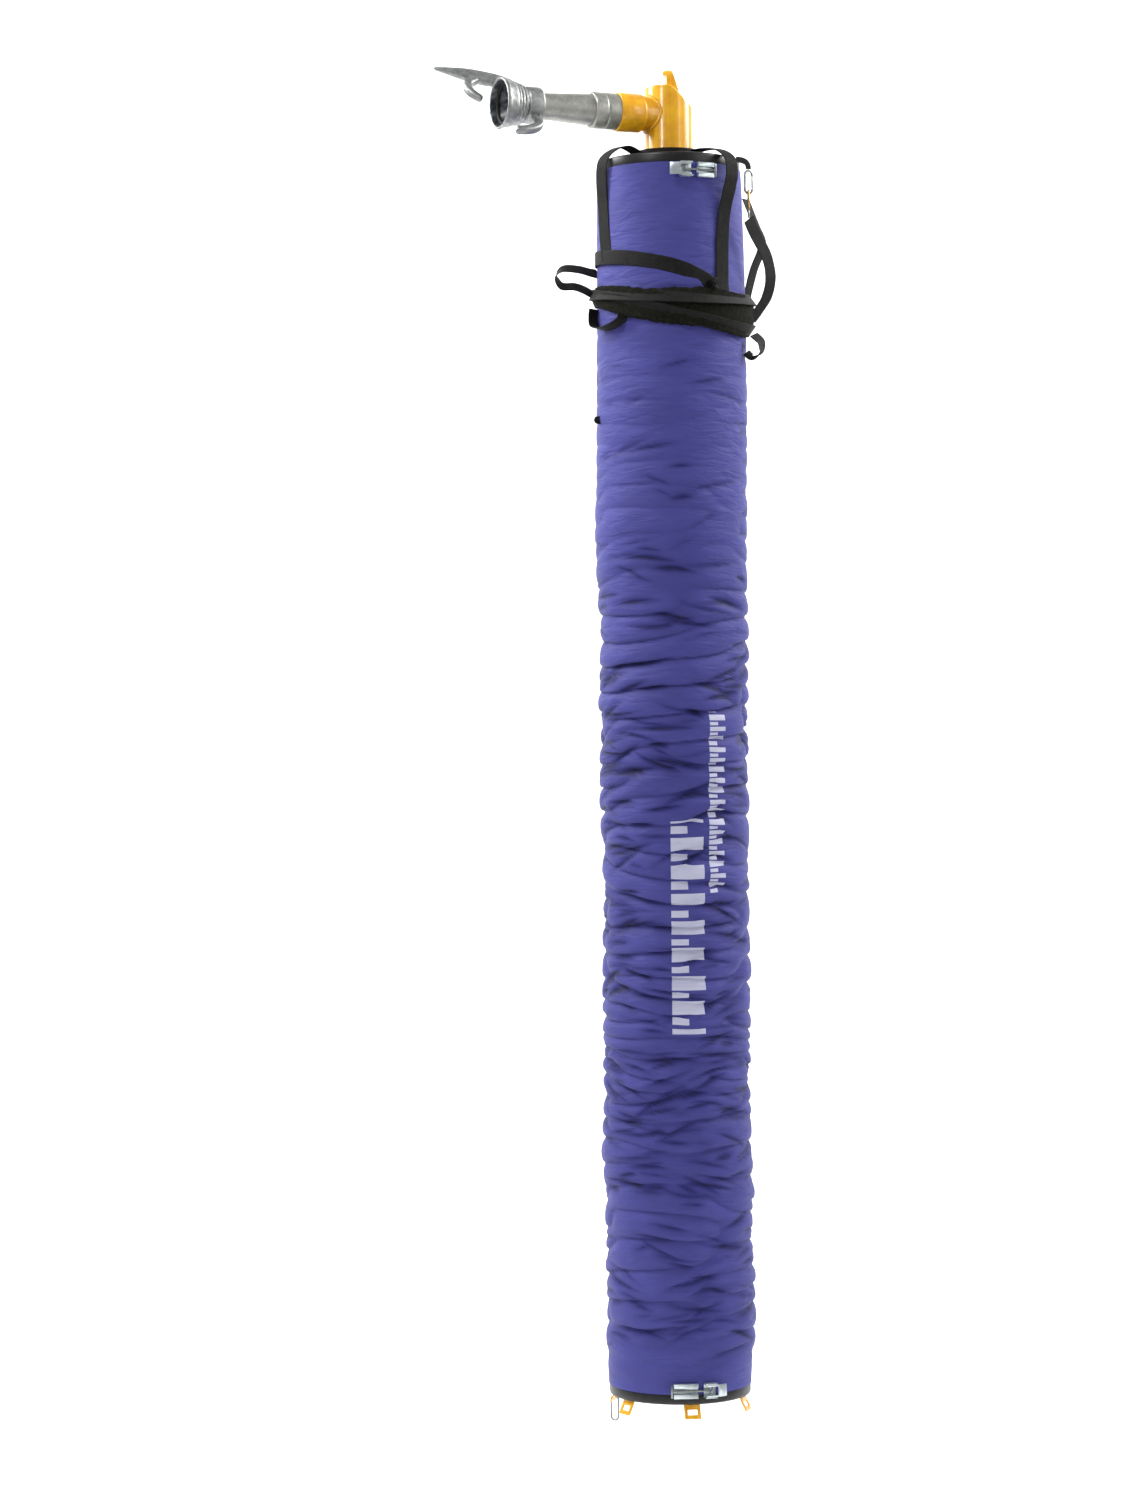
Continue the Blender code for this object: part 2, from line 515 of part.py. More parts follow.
def toggle_latch(prefix, angle, height, reach, flip):
    """Over-centre latch outside the cover. In its frame +X runs to the lever's tip and +Z points outwards."""
    radius = SLEEVE_RADIUS + GAP
    spin = Matrix.Rotation(angle, 3, "Z") @ Matrix.Rotation(math.pi / 2, 3, "X")
    spin = spin @ Matrix.Rotation(math.pi if flip else 0, 3, "Z")
    frame = empty(prefix + "_latch_frame", None, around(math.degrees(angle), radius, height), spin.to_euler())
    half = LATCH_HALF_WIDTH
    cheek = half - 0.0025
    channel = [(-half, 0), (half, 0), (half, 0.0155), (cheek, 0.0155), (cheek, 0.002), (-cheek, 0.002),
               (-cheek, 0.0155), (-half, 0.0155)]
    along_x = (math.pi / 2, 0, math.pi / 2)
    base = prism(prefix + "_latch_base", channel, -0.001, 0.024, ZINC, parent=frame, rotation=along_x)
    pivot = (0.006, 0, 0.0132)
    pin = 0.0022
    across = (math.pi / 2, 0, 0)
    socket = prism_mesh(prefix + "_base_hole", circle(pin + GAP, 12), -0.03, 0.03)
    boolean(base, "DIFFERENCE", tool(prefix + "_base_hole", socket, parent=frame, location=pivot, rotation=across))
    latch_lever(prefix, frame, pivot, cheek - GAP, half, pin)
    draw = Vector((0.008, 0, -0.0037))
    length, turn, spot = catch_seat(radius, reach)
    way = Vector((math.cos(turn), 0, -math.sin(turn)))
    out = Vector((math.sin(turn), 0, math.cos(turn)))
    target = spot - way * (length / 2 + 0.0025 + 4 * GAP) + out * 0.007 - Vector(pivot) - draw
    bail_place = dict(parent=frame, location=Vector(pivot) + draw)
    first = bar_between(prefix + "_bail", (0, 0, 0), target, 0.002)
    bail = add_object(prefix + "_latch_bail", first, STEEL, **bail_place)
    eye_bar = bar_between(prefix + "_bail_eye", (0, -0.0105, 0), (0, 0.0105, 0), 0.002)
    boolean(bail, "UNION", tool(prefix + "_bail_eye", eye_bar, **bail_place))
    end_bar = bar_between(prefix + "_bail_end", target + Vector((0, -0.013, 0)), target + Vector((0, 0.013, 0)),
                          0.0025)
    boolean(bail, "UNION", tool(prefix + "_bail_end", end_bar, **bail_place))
    latch_catch(prefix, frame, length, turn, spot)


def latch_lever(prefix, frame, pivot, outer, half, pin):
    """Pressed lever with its two trunnions, hollow underneath for the bail."""
    side = [(-0.006, -0.004), (-0.003, 0.0035), (0.024, 0.0025), (LATCH_LEVER, -0.0045), (LATCH_LEVER, -0.0068),
            (0.022, -0.0035), (0.013, -0.0072), (0.002, -0.0072)]
    place = dict(parent=frame, location=pivot)
    upright = dict(place, rotation=(math.pi / 2, 0, 0))
    lever = prism(prefix + "_latch_lever", side, -outer, outer, ZINC, **upright)
    wall = outer - 0.003
    hollow = [(-0.02, -0.02), (0.030, -0.02), (0.0200, 0.0), (0.0190, 0.01), (-0.02, 0.01)]
    inside = prism_mesh(prefix + "_lever_hollow", hollow, -wall, wall)
    boolean(lever, "DIFFERENCE", tool(prefix + "_lever_hollow", inside, **upright))
    for word, sign in (("a", 1), ("b", -1)):
        stub = bar_between(prefix + "_trunnion_" + word, (0, sign * (wall + 0.001), 0), (0, sign * half, 0), pin)
        boolean(lever, "UNION", tool(prefix + "_trunnion_" + word, stub, **place))
    hole = prism_mesh(prefix + "_lever_hole", circle(0.002 + GAP, 12), -0.03, 0.03)
    spot = Vector(pivot) + Vector((0.008, 0, -0.0037))
    boolean(lever, "DIFFERENCE", tool(prefix + "_lever_hole", hole, parent=frame, location=spot,
                                      rotation=(math.pi / 2, 0, 0)))


def catch_seat(radius, reach):
    """The catch's length, its turn round the tube from the latch's frame, and its place in that frame."""
    turn = -math.asin((reach / 2 + 0.001) / radius)
    spot = Vector((radius * math.sin(turn), 0, radius * math.cos(turn) - radius))
    return reach - 0.008, turn, spot


def latch_catch(prefix, frame, length, turn, spot):
    """Catch with two cheeks, the bail's bar bearing on their far ends, on its own tangent of the tube."""
    half = LATCH_HALF_WIDTH
    profile = [(-half, 0), (half, 0), (half, 0.009), (0.006, 0.009), (0.006, 0.0010), (-0.006, 0.0010),
               (-0.006, 0.009), (-half, 0.009)]
    spin = Matrix.Rotation(turn, 3, "Y") @ Euler((math.pi / 2, 0, math.pi / 2)).to_matrix()
    prism(prefix + "_latch_catch", profile, -length / 2, length / 2 - 0.008, ZINC, parent=frame, location=spot,
          rotation=spin.to_euler())


def foot_lugs():
    """Slotted lugs hooked up behind the foot rim and splayed outwards, and the link on one of them."""
    bottom = PLATE_TOP - TUBE_LENGTH
    inner = LUG_RADIUS
    top = LUG_GROOVE - 0.0008
    splay = 0.013
    for index in range(LUG_COUNT):
        angle = LUG_FIRST_ANGLE + index * 2 * math.pi / LUG_COUNT
        frame = empty(f"lug_frame_{index + 1}", None, (0, 0, bottom), (0, 0, angle))
        low = -LUG_DROP
        side = [(inner, top), (inner, -0.002), (inner + splay, low), (inner + splay + LUG_THICKNESS, low),
                (inner + LUG_THICKNESS, -0.002), (inner + LUG_THICKNESS, top)]
        outline = [(-r, z) for r, z in side]
        lug = prism(f"foot_lug_{index + 1}", outline, -LUG_WIDTH / 2, LUG_WIDTH / 2, YELLOW, parent=frame,
                    rotation=(math.pi / 2, 0, math.pi / 2))
        centre = low + 0.0125
        slot = rectangle(-LUG_SLOT_WIDTH / 2, LUG_SLOT_WIDTH / 2, centre - LUG_SLOT_HEIGHT / 2,
                         centre + LUG_SLOT_HEIGHT / 2)
        cut = prism_mesh(f"lug_slot_{index + 1}", slot, 0.1, 0.2)
        boolean(lug, "DIFFERENCE", tool(f"lug_slot_{index + 1}", cut, parent=frame,
                                        rotation=(math.pi / 2, 0, 0)))
    link_lug = LUG_FIRST_ANGLE - 2 * math.pi / 3
    slot_low = -LUG_DROP + 0.0125 - LUG_SLOT_HEIGHT / 2
    share = (-slot_low - 0.002) / (LUG_DROP - 0.002)
    hang = inner + splay * share + LUG_THICKNESS / 2
    spot = around(math.degrees(link_lug), hang, bottom + slot_low + LINK_WIRE + GAP + 0.0007)
    half = LINK_WIDTH / 2 - LINK_WIRE
    drop = LINK_LENGTH - LINK_WIDTH
    bend = np.linspace(0, math.pi, 9)
    points = [(0, half * math.cos(a), half * math.sin(a) - half) for a in bend]
    points += [(0, -half * math.cos(a), -drop - half * math.sin(a) - half) for a in bend]
    rod("oblong_link", points, LINK_WIRE, STEEL, cyclic=True, location=spot, rotation=(0, 0, link_lug))


def laid_point(point, stand=0.0):
    """A point of the harness's layout, moved out and down with the cover and the plate that it lies on."""
    x, y, z = point
    reach = math.hypot(x, y)
    grow = (reach + SLEEVE_RADIUS - LAYOUT_RADIUS + stand) / reach if reach > 0.12 else 1.0
    return x * grow, y * grow, z + PLATE_TOP - LAYOUT_PLATE


def laid_round(angle, radius, height):
    return laid_point(around(angle, radius, height))


def upright_strap(name, route, turn=0.0):
    """A strap that hangs down the tube: its width runs round the tube, turned a little by turn degrees."""
    path = smooth_path([laid_round(*row) for row in route], 4)
    rows = np.array(route)
    angles = np.interp(np.linspace(0, 1, len(path)), np.linspace(0, 1, len(rows)), rows[:, 0]) - turn
    turns = np.radians(angles)
    across = np.stack([np.cos(turns), np.sin(turns), np.zeros(len(turns))], axis=1)
    return ribbon(name, path, across, WEBBING_WIDTH, WEBBING_THICKNESS, WEBBING)


def level_strap(name, points, lean=(0.0, 0.0, 1.0), stand=0.0):
    """A strap whose width stays near the lean direction."""
    path = smooth_path([laid_point(point, stand) for point in points], 4)
    return ribbon(name, path, np.tile(lean, (len(path), 1)), WEBBING_WIDTH, WEBBING_THICKNESS, WEBBING)


def wrap_centre(angle):
    return -0.465 - 0.026 * math.cos(math.radians(angle - 50))


def wrap_half_height(angle):
    return 0.030 + 0.012 * math.cos(math.radians(angle - 60))


def wrap_outer(angle):
    return 0.168 + 0.006 * math.cos(math.radians(angle - 80))


def harness():
    """The carrying harness, slipped over the neck and wound round the upper tube."""
    hug = LAYOUT_RADIUS + WEBBING_THICKNESS / 2 + 2 * GAP
    loop = [around(a, NECK_LOOP_RADIUS, PLATE_TOP + 0.0109) for a in np.arange(0, 360, 12)]
    path = np.array(loop)
    ribbon("harness_neck_loop", path, np.tile((0.0, 0.0, 1.0), (len(path), 1)), 0.021, WEBBING_THICKNESS, WEBBING,
           cyclic=True)
    over = LAYOUT_PLATE + 0.004
    upright_strap("harness_strap_front_left", [(-62, STRAP_START, over + 0.010), (-62, 0.105, over + 0.022),
                                               (-62, 0.135, over + 0.012), (-62, 0.156, over - 0.012),
                                               (-63, 0.157, -0.215), (-63, hug, -0.260), (-62, hug, -0.300),
                                               (-60, hug, -0.345)])
    upright_strap("harness_strap_front_right", [(46, STRAP_START, over + 0.012), (46, 0.105, over + 0.012),
                                                (46, 0.140, over + 0.006), (46, 0.168, over - 0.014),
                                                (46, 0.174, -0.205), (45, 0.170, -0.235), (43, 0.160, -0.285),
                                                (41, 0.158, -0.350), (40, 0.158, -0.418)], turn=12.0)
    upright_strap("harness_strap_back_left", [(-112, STRAP_START, over + 0.008), (-112, 0.110, over + 0.010),
                                              (-112, 0.145, over + 0.002), (-112, 0.156, over - 0.016),
                                              (-112, 0.155, -0.215), (-112, hug, -0.260), (-112, hug, -0.360),
                                              (-112, hug, -0.406)])
    upright_strap("harness_strap_back_right", [(140, STRAP_START, over + 0.008), (140, 0.110, over + 0.010),
                                               (140, 0.145, over + 0.002), (140, 0.156, over - 0.016),
                                               (138, 0.155, -0.215), (136, hug, -0.260), (134, hug, -0.360),
                                               (134, hug, -0.412)])
    snug = hug + 0.0005
    diagonal = [(-92, 0.153, -0.365), (-76, 0.157, -0.368), (-62, 0.158, -0.371), (-48, 0.156, -0.375),
                (-34, snug, -0.380), (-20, snug, -0.387), (-6, snug, -0.395), (8, snug, -0.406),
                (21, snug, -0.424)]
    level_strap("harness_diagonal", [around(*row) for row in diagonal])
    angles = np.arange(0, 360, 10)
    inner = LAYOUT_RADIUS + 0.0012
    centre = np.array([laid_round(a, (inner + wrap_outer(a)) / 2, wrap_centre(a)) for a in angles])
    heights = np.array([2 * wrap_half_height(a) for a in angles])
    depths = np.array([wrap_outer(a) - inner for a in angles])
    upward = np.tile((0.0, 0.0, 1.0), (len(angles), 1))
    ribbon("harness_wrap", centre, upward, heights, depths, WEBBING, cyclic=True)
    knot_low = wrap_centre(31) + wrap_half_height(31) + 0.003
    knot = lathe_mesh("harness_knot", [(0.013, 0.006), (0.013, -0.006), (0.008, -0.011), (0.0005, -0.011),
                                       (0.0005, 0.011), (0.008, 0.011)], 16)
    add_object("harness_knot", knot, WEBBING, location=laid_round(31, 0.1632, knot_low + 0.011))
    edge = 1.3 * SIDE_STAND
    tab_points = [(0.1346 + edge, -0.1075 + edge / 2, -0.1770), (0.146, -0.1005, -0.1773), (0.1555, -0.0958, -0.1812),
                  (0.1595, -0.0943, -0.1885), (0.160, -0.094, -0.1949)]
    tab_route = smooth_path([laid_point(point, SIDE_STAND) for point in tab_points], 3)
    twist = np.linspace(0, 1, len(tab_route))[:, None]
    tab_across = np.array([0.0, 0.0, 1.0]) * (1 - twist) + np.array([0.906, 0.423, 0.0]) * twist
    ribbon("harness_tab", tab_route, tab_across, 0.012, WEBBING_THICKNESS, WEBBING)
    side_loops()


def side_loops():
    """Ends of the harness that stand out at both sides of the bundle."""
    level_strap("harness_loop_left", [(-0.1655, -0.004, -0.392), (-0.190, -0.010, -0.386), (-0.222, -0.014, -0.385),
                                      (-0.236, -0.014, -0.400), (-0.226, -0.012, -0.420),
                                      (-0.200, -0.010, -0.4215), (-0.180, -0.008, -0.428),
                                      (-0.1635, -0.004, -0.437)], lean=(0.1, 0.9, 0.35))
    low_left = [(-78, 0.168, -0.4721), (-78, 0.169, -0.492), (-71, 0.171, -0.512), (-58, 0.172, -0.520),
                (-46, 0.171, -0.515), (-39, 0.169, -0.506), (-38, 0.168, -0.4954)]
    level_strap("harness_loop_low_left", [around(*row) for row in low_left], lean=(-0.83, -0.53, 0.15))
    level_strap("harness_strap_side", [(0.160, -0.094, -0.2970), (0.170, -0.082, -0.318), (0.182, -0.068, -0.338),
                                       (0.200, -0.050, -0.372), (0.207, -0.040, -0.412), (0.199, -0.032, -0.450),
                                       (0.180, -0.026, -0.480)], lean=(0.75, 0.65, 0.1), stand=SIDE_STAND)
    level_strap("harness_strap_crossing", [(0.1599, 0.010, -0.240), (0.178, 0.000, -0.290), (0.192, -0.002, -0.325),
                                           (0.190, 0.004, -0.350), (0.176, 0.012, -0.385),
                                           (0.1645, 0.016, -0.428)], lean=(0.55, 0.8, 0.0), stand=SIDE_STAND)
    level_strap("harness_loop_low_right", [(0.1711, -0.0398, -0.528), (0.186, -0.044, -0.545),
                                           (0.184, -0.046, -0.566), (0.168, -0.048, -0.576),
                                           (0.1545, -0.046, -0.566)], lean=(0.2, 0.9, 0.1))
    stub = laid_round(-74, LAYOUT_RADIUS + GAP, -0.712)
    prism("cover_strap_stub", [(0, 0), (0.014, 0.002), (0.018, 0.008), (0.016, 0.016), (0.006, 0.018), (0, 0.014)],
          -0.003, 0.003, WEBBING, location=stub, rotation=(math.pi / 2, 0, math.radians(-164)))


def snap_hooks():
    """A snap ring sewn to the harness and a trigger snap hook hanging in it, each with a gate."""
    wire = 0.0025
    top = laid_point((0.160, -0.094, -0.198), SIDE_STAND)
    turn = math.radians(25)
    frame = empty("snap_ring_frame", None, top, (0, 0, turn))
    bend = np.linspace(0, math.pi, 9)
    arc_top = [(0.0085 * math.cos(a), 0, 0.0085 * math.sin(a) - 0.0085) for a in bend]
    arc_low = [(-0.0085 * math.cos(a), 0, -0.0385 - 0.0085 * math.sin(a)) for a in bend]
    rod("snap_ring", [(0.0085, 0, -0.0120)] + arc_top + arc_low + [(0.0085, 0, -0.0365)], wire, STEEL, parent=frame)
    rod("snap_ring_gate", [(0, 0, 0), (0, 0, 0.0226)], 0.0018, STEEL, parent=frame,
        location=(0.0085, 0, -0.0356))
    bend_top = -0.047 + 2 * wire + 4 * GAP
    lower = empty("trigger_hook_frame", frame, (0, 0, bend_top - 0.0545), (math.pi, 0, math.radians(60)))
    eye = [(0.0065 * math.cos(a), 0, 0.0065 * math.sin(a) - 0.0065) for a in np.linspace(0, 2 * math.pi, 17)[:-1]]
    rod("trigger_hook_eye", eye, 0.002, STEEL, cyclic=True, parent=lower)
    body = [(0, 0, -0.0155), (0, 0, -0.022), (-0.007, 0, -0.027), (-0.010, 0, -0.034), (-0.010, 0, -0.046),
            (-0.006, 0, -0.052), (0, 0, -0.0545), (0.006, 0, -0.0525), (0.0085, 0, -0.0490), (0.0085, 0, -0.0468)]
    rod("trigger_hook", body, wire, BRASS, parent=lower)
    rod("trigger_hook_gate", [(0, 0, 0), (-0.0039, 0, 0.0165)], 0.0018, BRASS, parent=lower,
        location=(0.0085, 0, -0.0455))


def build():
    for old in list(bpy.data.objects):
        bpy.data.objects.remove(old, do_unlink=True)
    branch = empty("branch_frame", None, (0, 0, BRANCH_HEIGHT), (0, 0, math.pi + BRANCH_TURN))
    lifting_eye()
    swivel_elbow(branch)
    suction_line(branch)
    coupling_ring(branch)
    tube_ends()
    hose_and_cover()
    toggle_latch("top", TOP_LATCH_ANGLE, TOP_LATCH_HEIGHT, TOP_LATCH_REACH, True)
    toggle_latch("foot", FOOT_LATCH_ANGLE, FOOT_LATCH_HEIGHT, FOOT_LATCH_REACH, False)
    foot_lugs()
    harness()
    snap_hooks()


build()
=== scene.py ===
import math

import bmesh
import bpy
import json
import numpy as np
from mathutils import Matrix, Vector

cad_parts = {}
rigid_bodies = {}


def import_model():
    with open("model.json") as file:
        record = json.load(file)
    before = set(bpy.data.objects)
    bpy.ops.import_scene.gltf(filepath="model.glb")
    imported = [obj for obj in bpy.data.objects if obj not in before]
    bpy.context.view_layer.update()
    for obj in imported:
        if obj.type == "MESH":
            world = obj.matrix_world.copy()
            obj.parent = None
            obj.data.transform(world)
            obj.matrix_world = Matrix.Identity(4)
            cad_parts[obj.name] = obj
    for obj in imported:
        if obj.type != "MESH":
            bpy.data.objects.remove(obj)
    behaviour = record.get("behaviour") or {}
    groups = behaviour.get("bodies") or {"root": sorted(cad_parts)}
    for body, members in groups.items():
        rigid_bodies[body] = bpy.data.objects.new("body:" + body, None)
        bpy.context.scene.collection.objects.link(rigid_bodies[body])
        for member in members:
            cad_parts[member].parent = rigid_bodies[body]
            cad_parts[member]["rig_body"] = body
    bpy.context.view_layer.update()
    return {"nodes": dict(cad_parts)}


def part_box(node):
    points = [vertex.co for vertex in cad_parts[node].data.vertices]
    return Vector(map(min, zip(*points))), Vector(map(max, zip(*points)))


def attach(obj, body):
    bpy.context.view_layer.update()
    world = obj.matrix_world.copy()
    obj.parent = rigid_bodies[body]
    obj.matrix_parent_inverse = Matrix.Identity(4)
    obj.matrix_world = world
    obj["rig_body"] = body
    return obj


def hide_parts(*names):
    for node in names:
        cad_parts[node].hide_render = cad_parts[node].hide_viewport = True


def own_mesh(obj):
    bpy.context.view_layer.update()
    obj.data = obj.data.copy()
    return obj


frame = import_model()

# ----------------------------------------------------------
# Studio. The tube hangs by its eye in front of a pale seamless sweep, under wide soft lamps from the front left
# and right. The camera stands level with the middle of the tube and a little to its left, leaning half a degree.
# ----------------------------------------------------------
CAMERA_DISTANCE = 7.0
VIEW_HEIGHT = 3.125
MIDDLE = -1.385


def colour(code):
    """Linear RGBA of an sRGB hex code: each channel through the sRGB curve, ((c + 0.055) / 1.055) ** 2.4."""
    channels = [int(code[i : i + 2], 16) / 255 for i in (0, 2, 4)]
    return tuple(c / 12.92 if c <= 0.04045 else ((c + 0.055) / 1.055) ** 2.4 for c in channels) + (1.0,)


def add_node(tree, kind, inputs=None, **settings):
    """Adds a node, sets its properties and its inputs, and links the inputs that are given as sockets."""
    made = tree.nodes.new("ShaderNode" + kind)
    for key, value in settings.items():
        setattr(made, key, value)
    for key, value in (inputs or {}).items():
        if isinstance(value, bpy.types.NodeSocket):
            tree.links.new(value, made.inputs[key])
        else:
            made.inputs[key].default_value = value
    return made


def finish_named(name, roughness, metallic=0.0, **constants):
    """A material with a Principled shader whose constant sockets are set. Returns (material, tree, shader)."""
    made = bpy.data.materials.new(name)
    made.use_nodes = True
    tree = made.node_tree
    tree.nodes.clear()
    shader = add_node(tree, "BsdfPrincipled", {"Roughness": roughness, "Metallic": metallic, **constants})
    add_node(tree, "OutputMaterial", {"Surface": shader.outputs[0]})
    return made, tree, shader


def noise_of(tree, at, scale, detail=2.0, fine=0.5):
    """Strength of a noise of that scale over the positions at, which are the object's own where at is None."""
    at = at or add_node(tree, "TexCoord").outputs["Object"]
    made = add_node(tree, "TexNoise", {"Vector": at, "Scale": scale, "Detail": detail, "Roughness": fine})
    return made.outputs["Fac"]


def math_of(tree, operation, first, second=0.0):
    """Result of an operation on two values or sockets."""
    return add_node(tree, "Math", {0: first, 1: second}, operation=operation).outputs[0]


def ramped(tree, fac, first, *middle, last):
    """Colour along fac through its stops, each a (position, code) pair."""
    tone = add_node(tree, "ValToRGB", {"Fac": fac})
    stops = tone.color_ramp.elements
    for stop, (position, code) in zip((stops[0], stops[1]), (first, last)):
        stop.position = position
        stop.color = colour(code)
    for position, code in middle:
        stops.new(position).color = colour(code)
    return tone.outputs["Color"]


def mottled(name, roughness, metallic, scale, detail, first, last, fine=0.5, **constants):
    """A finish whose colour runs from the first stop to the last with a noise of that scale per metre.
    Returns (material, tree, shader, the noise's strength)."""
    made, tree, shader = finish_named(name, roughness, metallic, **constants)
    noise = noise_of(tree, None, scale, detail, fine)
    tree.links.new(ramped(tree, noise, first, last=last), shader.inputs["Base Color"])
    return made, tree, shader, noise


def spread(tree, shader, fac, low, high):
    """Lets the roughness follow fac, from low to high."""
    rough = add_node(tree, "MapRange", {"Value": fac, "To Min": low, "To Max": high})
    tree.links.new(rough.outputs["Result"], shader.inputs["Roughness"])


def mixed(tree, share, under, code):
    """A colour socket with that share of a second colour laid over it."""
    mix = add_node(tree, "Mix", data_type="RGBA")
    sockets = [socket for socket in mix.inputs if socket.enabled]
    tree.links.new(share, sockets[0])
    tree.links.new(under, sockets[1])
    sockets[2].default_value = colour(code)
    return next(socket for socket in mix.outputs if socket.enabled)


def raised(tree, shader, height, strength, distance):
    """Bumps the shader by a height field, its distance in metres."""
    bump = add_node(tree, "Bump", {"Height": height, "Strength": strength, "Distance": distance})
    tree.links.new(bump.outputs["Normal"], shader.inputs["Normal"])


sweep_line = [(-9.0, -3.15), (1.6, -3.15)]
sweep_line += [(1.6 + 2.0 * math.sin(t), -1.15 - 2.0 * math.cos(t)) for t in np.linspace(0.1, math.pi / 2, 12)]
sweep_line += [(3.6, 7.0)]
sweep_rows = np.array([[(-14.0, y, z), (14.0, y, z)] for y, z in sweep_line])
backdrop_mesh = bpy.data.meshes.new("backdrop")
backdrop_mesh.from_pydata(
    sweep_rows.reshape(-1, 3).tolist(),
    [],
    [(2 * i, 2 * i + 1, 2 * i + 3, 2 * i + 2) for i in range(len(sweep_line) - 1)],
)
backdrop_mesh.shade_smooth()
backdrop = bpy.data.objects.new("backdrop", backdrop_mesh)
bpy.context.scene.collection.objects.link(backdrop)
# Matt white paper: no shine, so that the lamps leave no patches on it.
paper, _, paper_shader = finish_named("white_paper_sweep", 0.95)
paper_shader.inputs["Base Color"].default_value = colour("FAFAFA")
paper_shader.inputs["Specular IOR Level"].default_value = 0.0
backdrop_mesh.materials.append(paper)

studio = bpy.data.worlds.new("studio")
studio.use_nodes = True
studio.node_tree.nodes["Background"].inputs["Color"].default_value = colour("FBFCFF")
studio.node_tree.nodes["Background"].inputs["Strength"].default_value = 0.28
bpy.context.scene.world = studio
bpy.context.scene.view_settings.view_transform = "Standard"


def softbox(name, place, target, size, power):
    """Square area lamp of that size in metres, turned from its place towards its target."""
    lamp = bpy.data.lights.new(name, "AREA")
    lamp.shape = "RECTANGLE"
    lamp.size, lamp.size_y = size
    lamp.energy = power
    made = bpy.data.objects.new(name, lamp)
    bpy.context.scene.collection.objects.link(made)
    made.location = place
    way = np.array(target) - np.array(place)
    flat = math.hypot(way[0], way[1])
    made.rotation_euler = (math.pi / 2 + math.atan2(way[2], flat), 0, math.atan2(-way[0], way[1]))


softbox("key_lamp", (-1.9, -2.6, 3.4), (0, 0, -1.1), (0.7, 0.7), 96)
softbox("low_lamp", (-2.0, -3.0, 0.6), (0, 0, -2.1), (0.5, 0.8), 22)
softbox("side_lamp", (3.2, -2.6, 0.4), (0, 0, -1.3), (0.5, 3.0), 20)
softbox("back_lamp_left", (-3.4, 0.8, 1.5), (0, 3.6, -1.2), (2.2, 2.2), 260)
softbox("back_lamp_right", (3.4, 0.8, 1.5), (0, 3.6, -1.2), (2.2, 2.2), 260)

lens = bpy.data.cameras.new("camera")
lens.sensor_fit = "VERTICAL"
lens.sensor_height = 24.0
lens.lens = 24.0 * CAMERA_DISTANCE / VIEW_HEIGHT
lens.clip_end = 60.0
camera = bpy.data.objects.new("camera", lens)
bpy.context.scene.collection.objects.link(camera)
camera.location = (-0.233, -CAMERA_DISTANCE, MIDDLE)
camera.rotation_mode = "XYZ"
camera.rotation_euler = (math.pi / 2, math.radians(0.53), 0)
bpy.context.scene.camera = camera

# ----------------------------------------------------------
# Suspension eye and swivel elbow. The elbow is an upright steel tube, its top cut on a slope and closed by a
# plate, with a branch tube and socket; the forged eye sits on the ridge. Welded, then sprayed with golden enamel.
# ----------------------------------------------------------
ELBOW_RADIUS = 0.0508
ELBOW_BORE = 0.047
ELBOW_TOP = -0.009
ELBOW_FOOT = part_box("swivel_elbow")[0].z
RIDGE_X = 0.003
SLOPE = math.tan(math.radians(42))
BRANCH_TURN = math.radians(24)
BRANCH_WAY = np.array([-math.cos(BRANCH_TURN), -math.sin(BRANCH_TURN), 0.0])
BRANCH_SIDE = np.array([math.sin(BRANCH_TURN), -math.cos(BRANCH_TURN), 0.0])
BRANCH_START = np.array([0.0, 0.0, -0.066])
BRANCH_RADIUS = 0.0365
SOCKET_RADIUS = 0.0405
UP = np.array([0.0, 0.0, 1.0])


def surface(name, points, ring=True):
    """Mesh of a grid of points: each row joined to the next and, where ring, each row's end to its start."""
    rows, columns = points.shape[:2]
    steps = columns if ring else columns - 1
    i, j = np.meshgrid(np.arange(rows - 1), np.arange(steps), indexing="ij")
    k = (j + 1) % columns
    quads = np.stack([i * columns + j, (i + 1) * columns + j, (i + 1) * columns + k, i * columns + k], axis=-1)
    mesh = bpy.data.meshes.new(name)
    mesh.from_pydata(points.reshape(-1, 3).tolist(), [], quads.reshape(-1, 4).tolist())
    return mesh


def joined(name, meshes, angle=40.0):
    """One mesh of several, with doubles merged, faces turned outwards and smooth shading up to the edge angle."""
    work = bmesh.new()
    for mesh in meshes:
        work.from_mesh(mesh)
    bmesh.ops.remove_doubles(work, verts=work.verts, dist=2e-6)
    bmesh.ops.recalc_face_normals(work, faces=work.faces)
    whole = bpy.data.meshes.new(name)
    work.to_mesh(whole)
    work.free()
    whole.shade_smooth()
    whole.set_sharp_from_angle(angle=math.radians(angle))
    return whole


def turned(name, profile, origin, axis, across, sides=128, rough=0.0):
    """Turned surface: profile rows of (distance s along the axis, radius r), closed back on its first row:
    point = origin + axis s + r (across cos t + third sin t). rough makes the radius uneven, as in a sand casting."""
    profile = np.array(list(profile) + [profile[0]], float)
    t = np.linspace(0, 2 * math.pi, sides, endpoint=False)[None, :, None]
    rim = across * np.cos(t) + np.cross(axis, across) * np.sin(t)
    lumps = rough * (np.sin(7 * t + 40 * profile[:, :1, None]) + np.sin(17 * t - 300 * profile[:, :1, None]))
    points = origin + profile[:, :1, None] * axis + (profile[:, 1:, None] + lumps) * rim
    return surface(name, points)


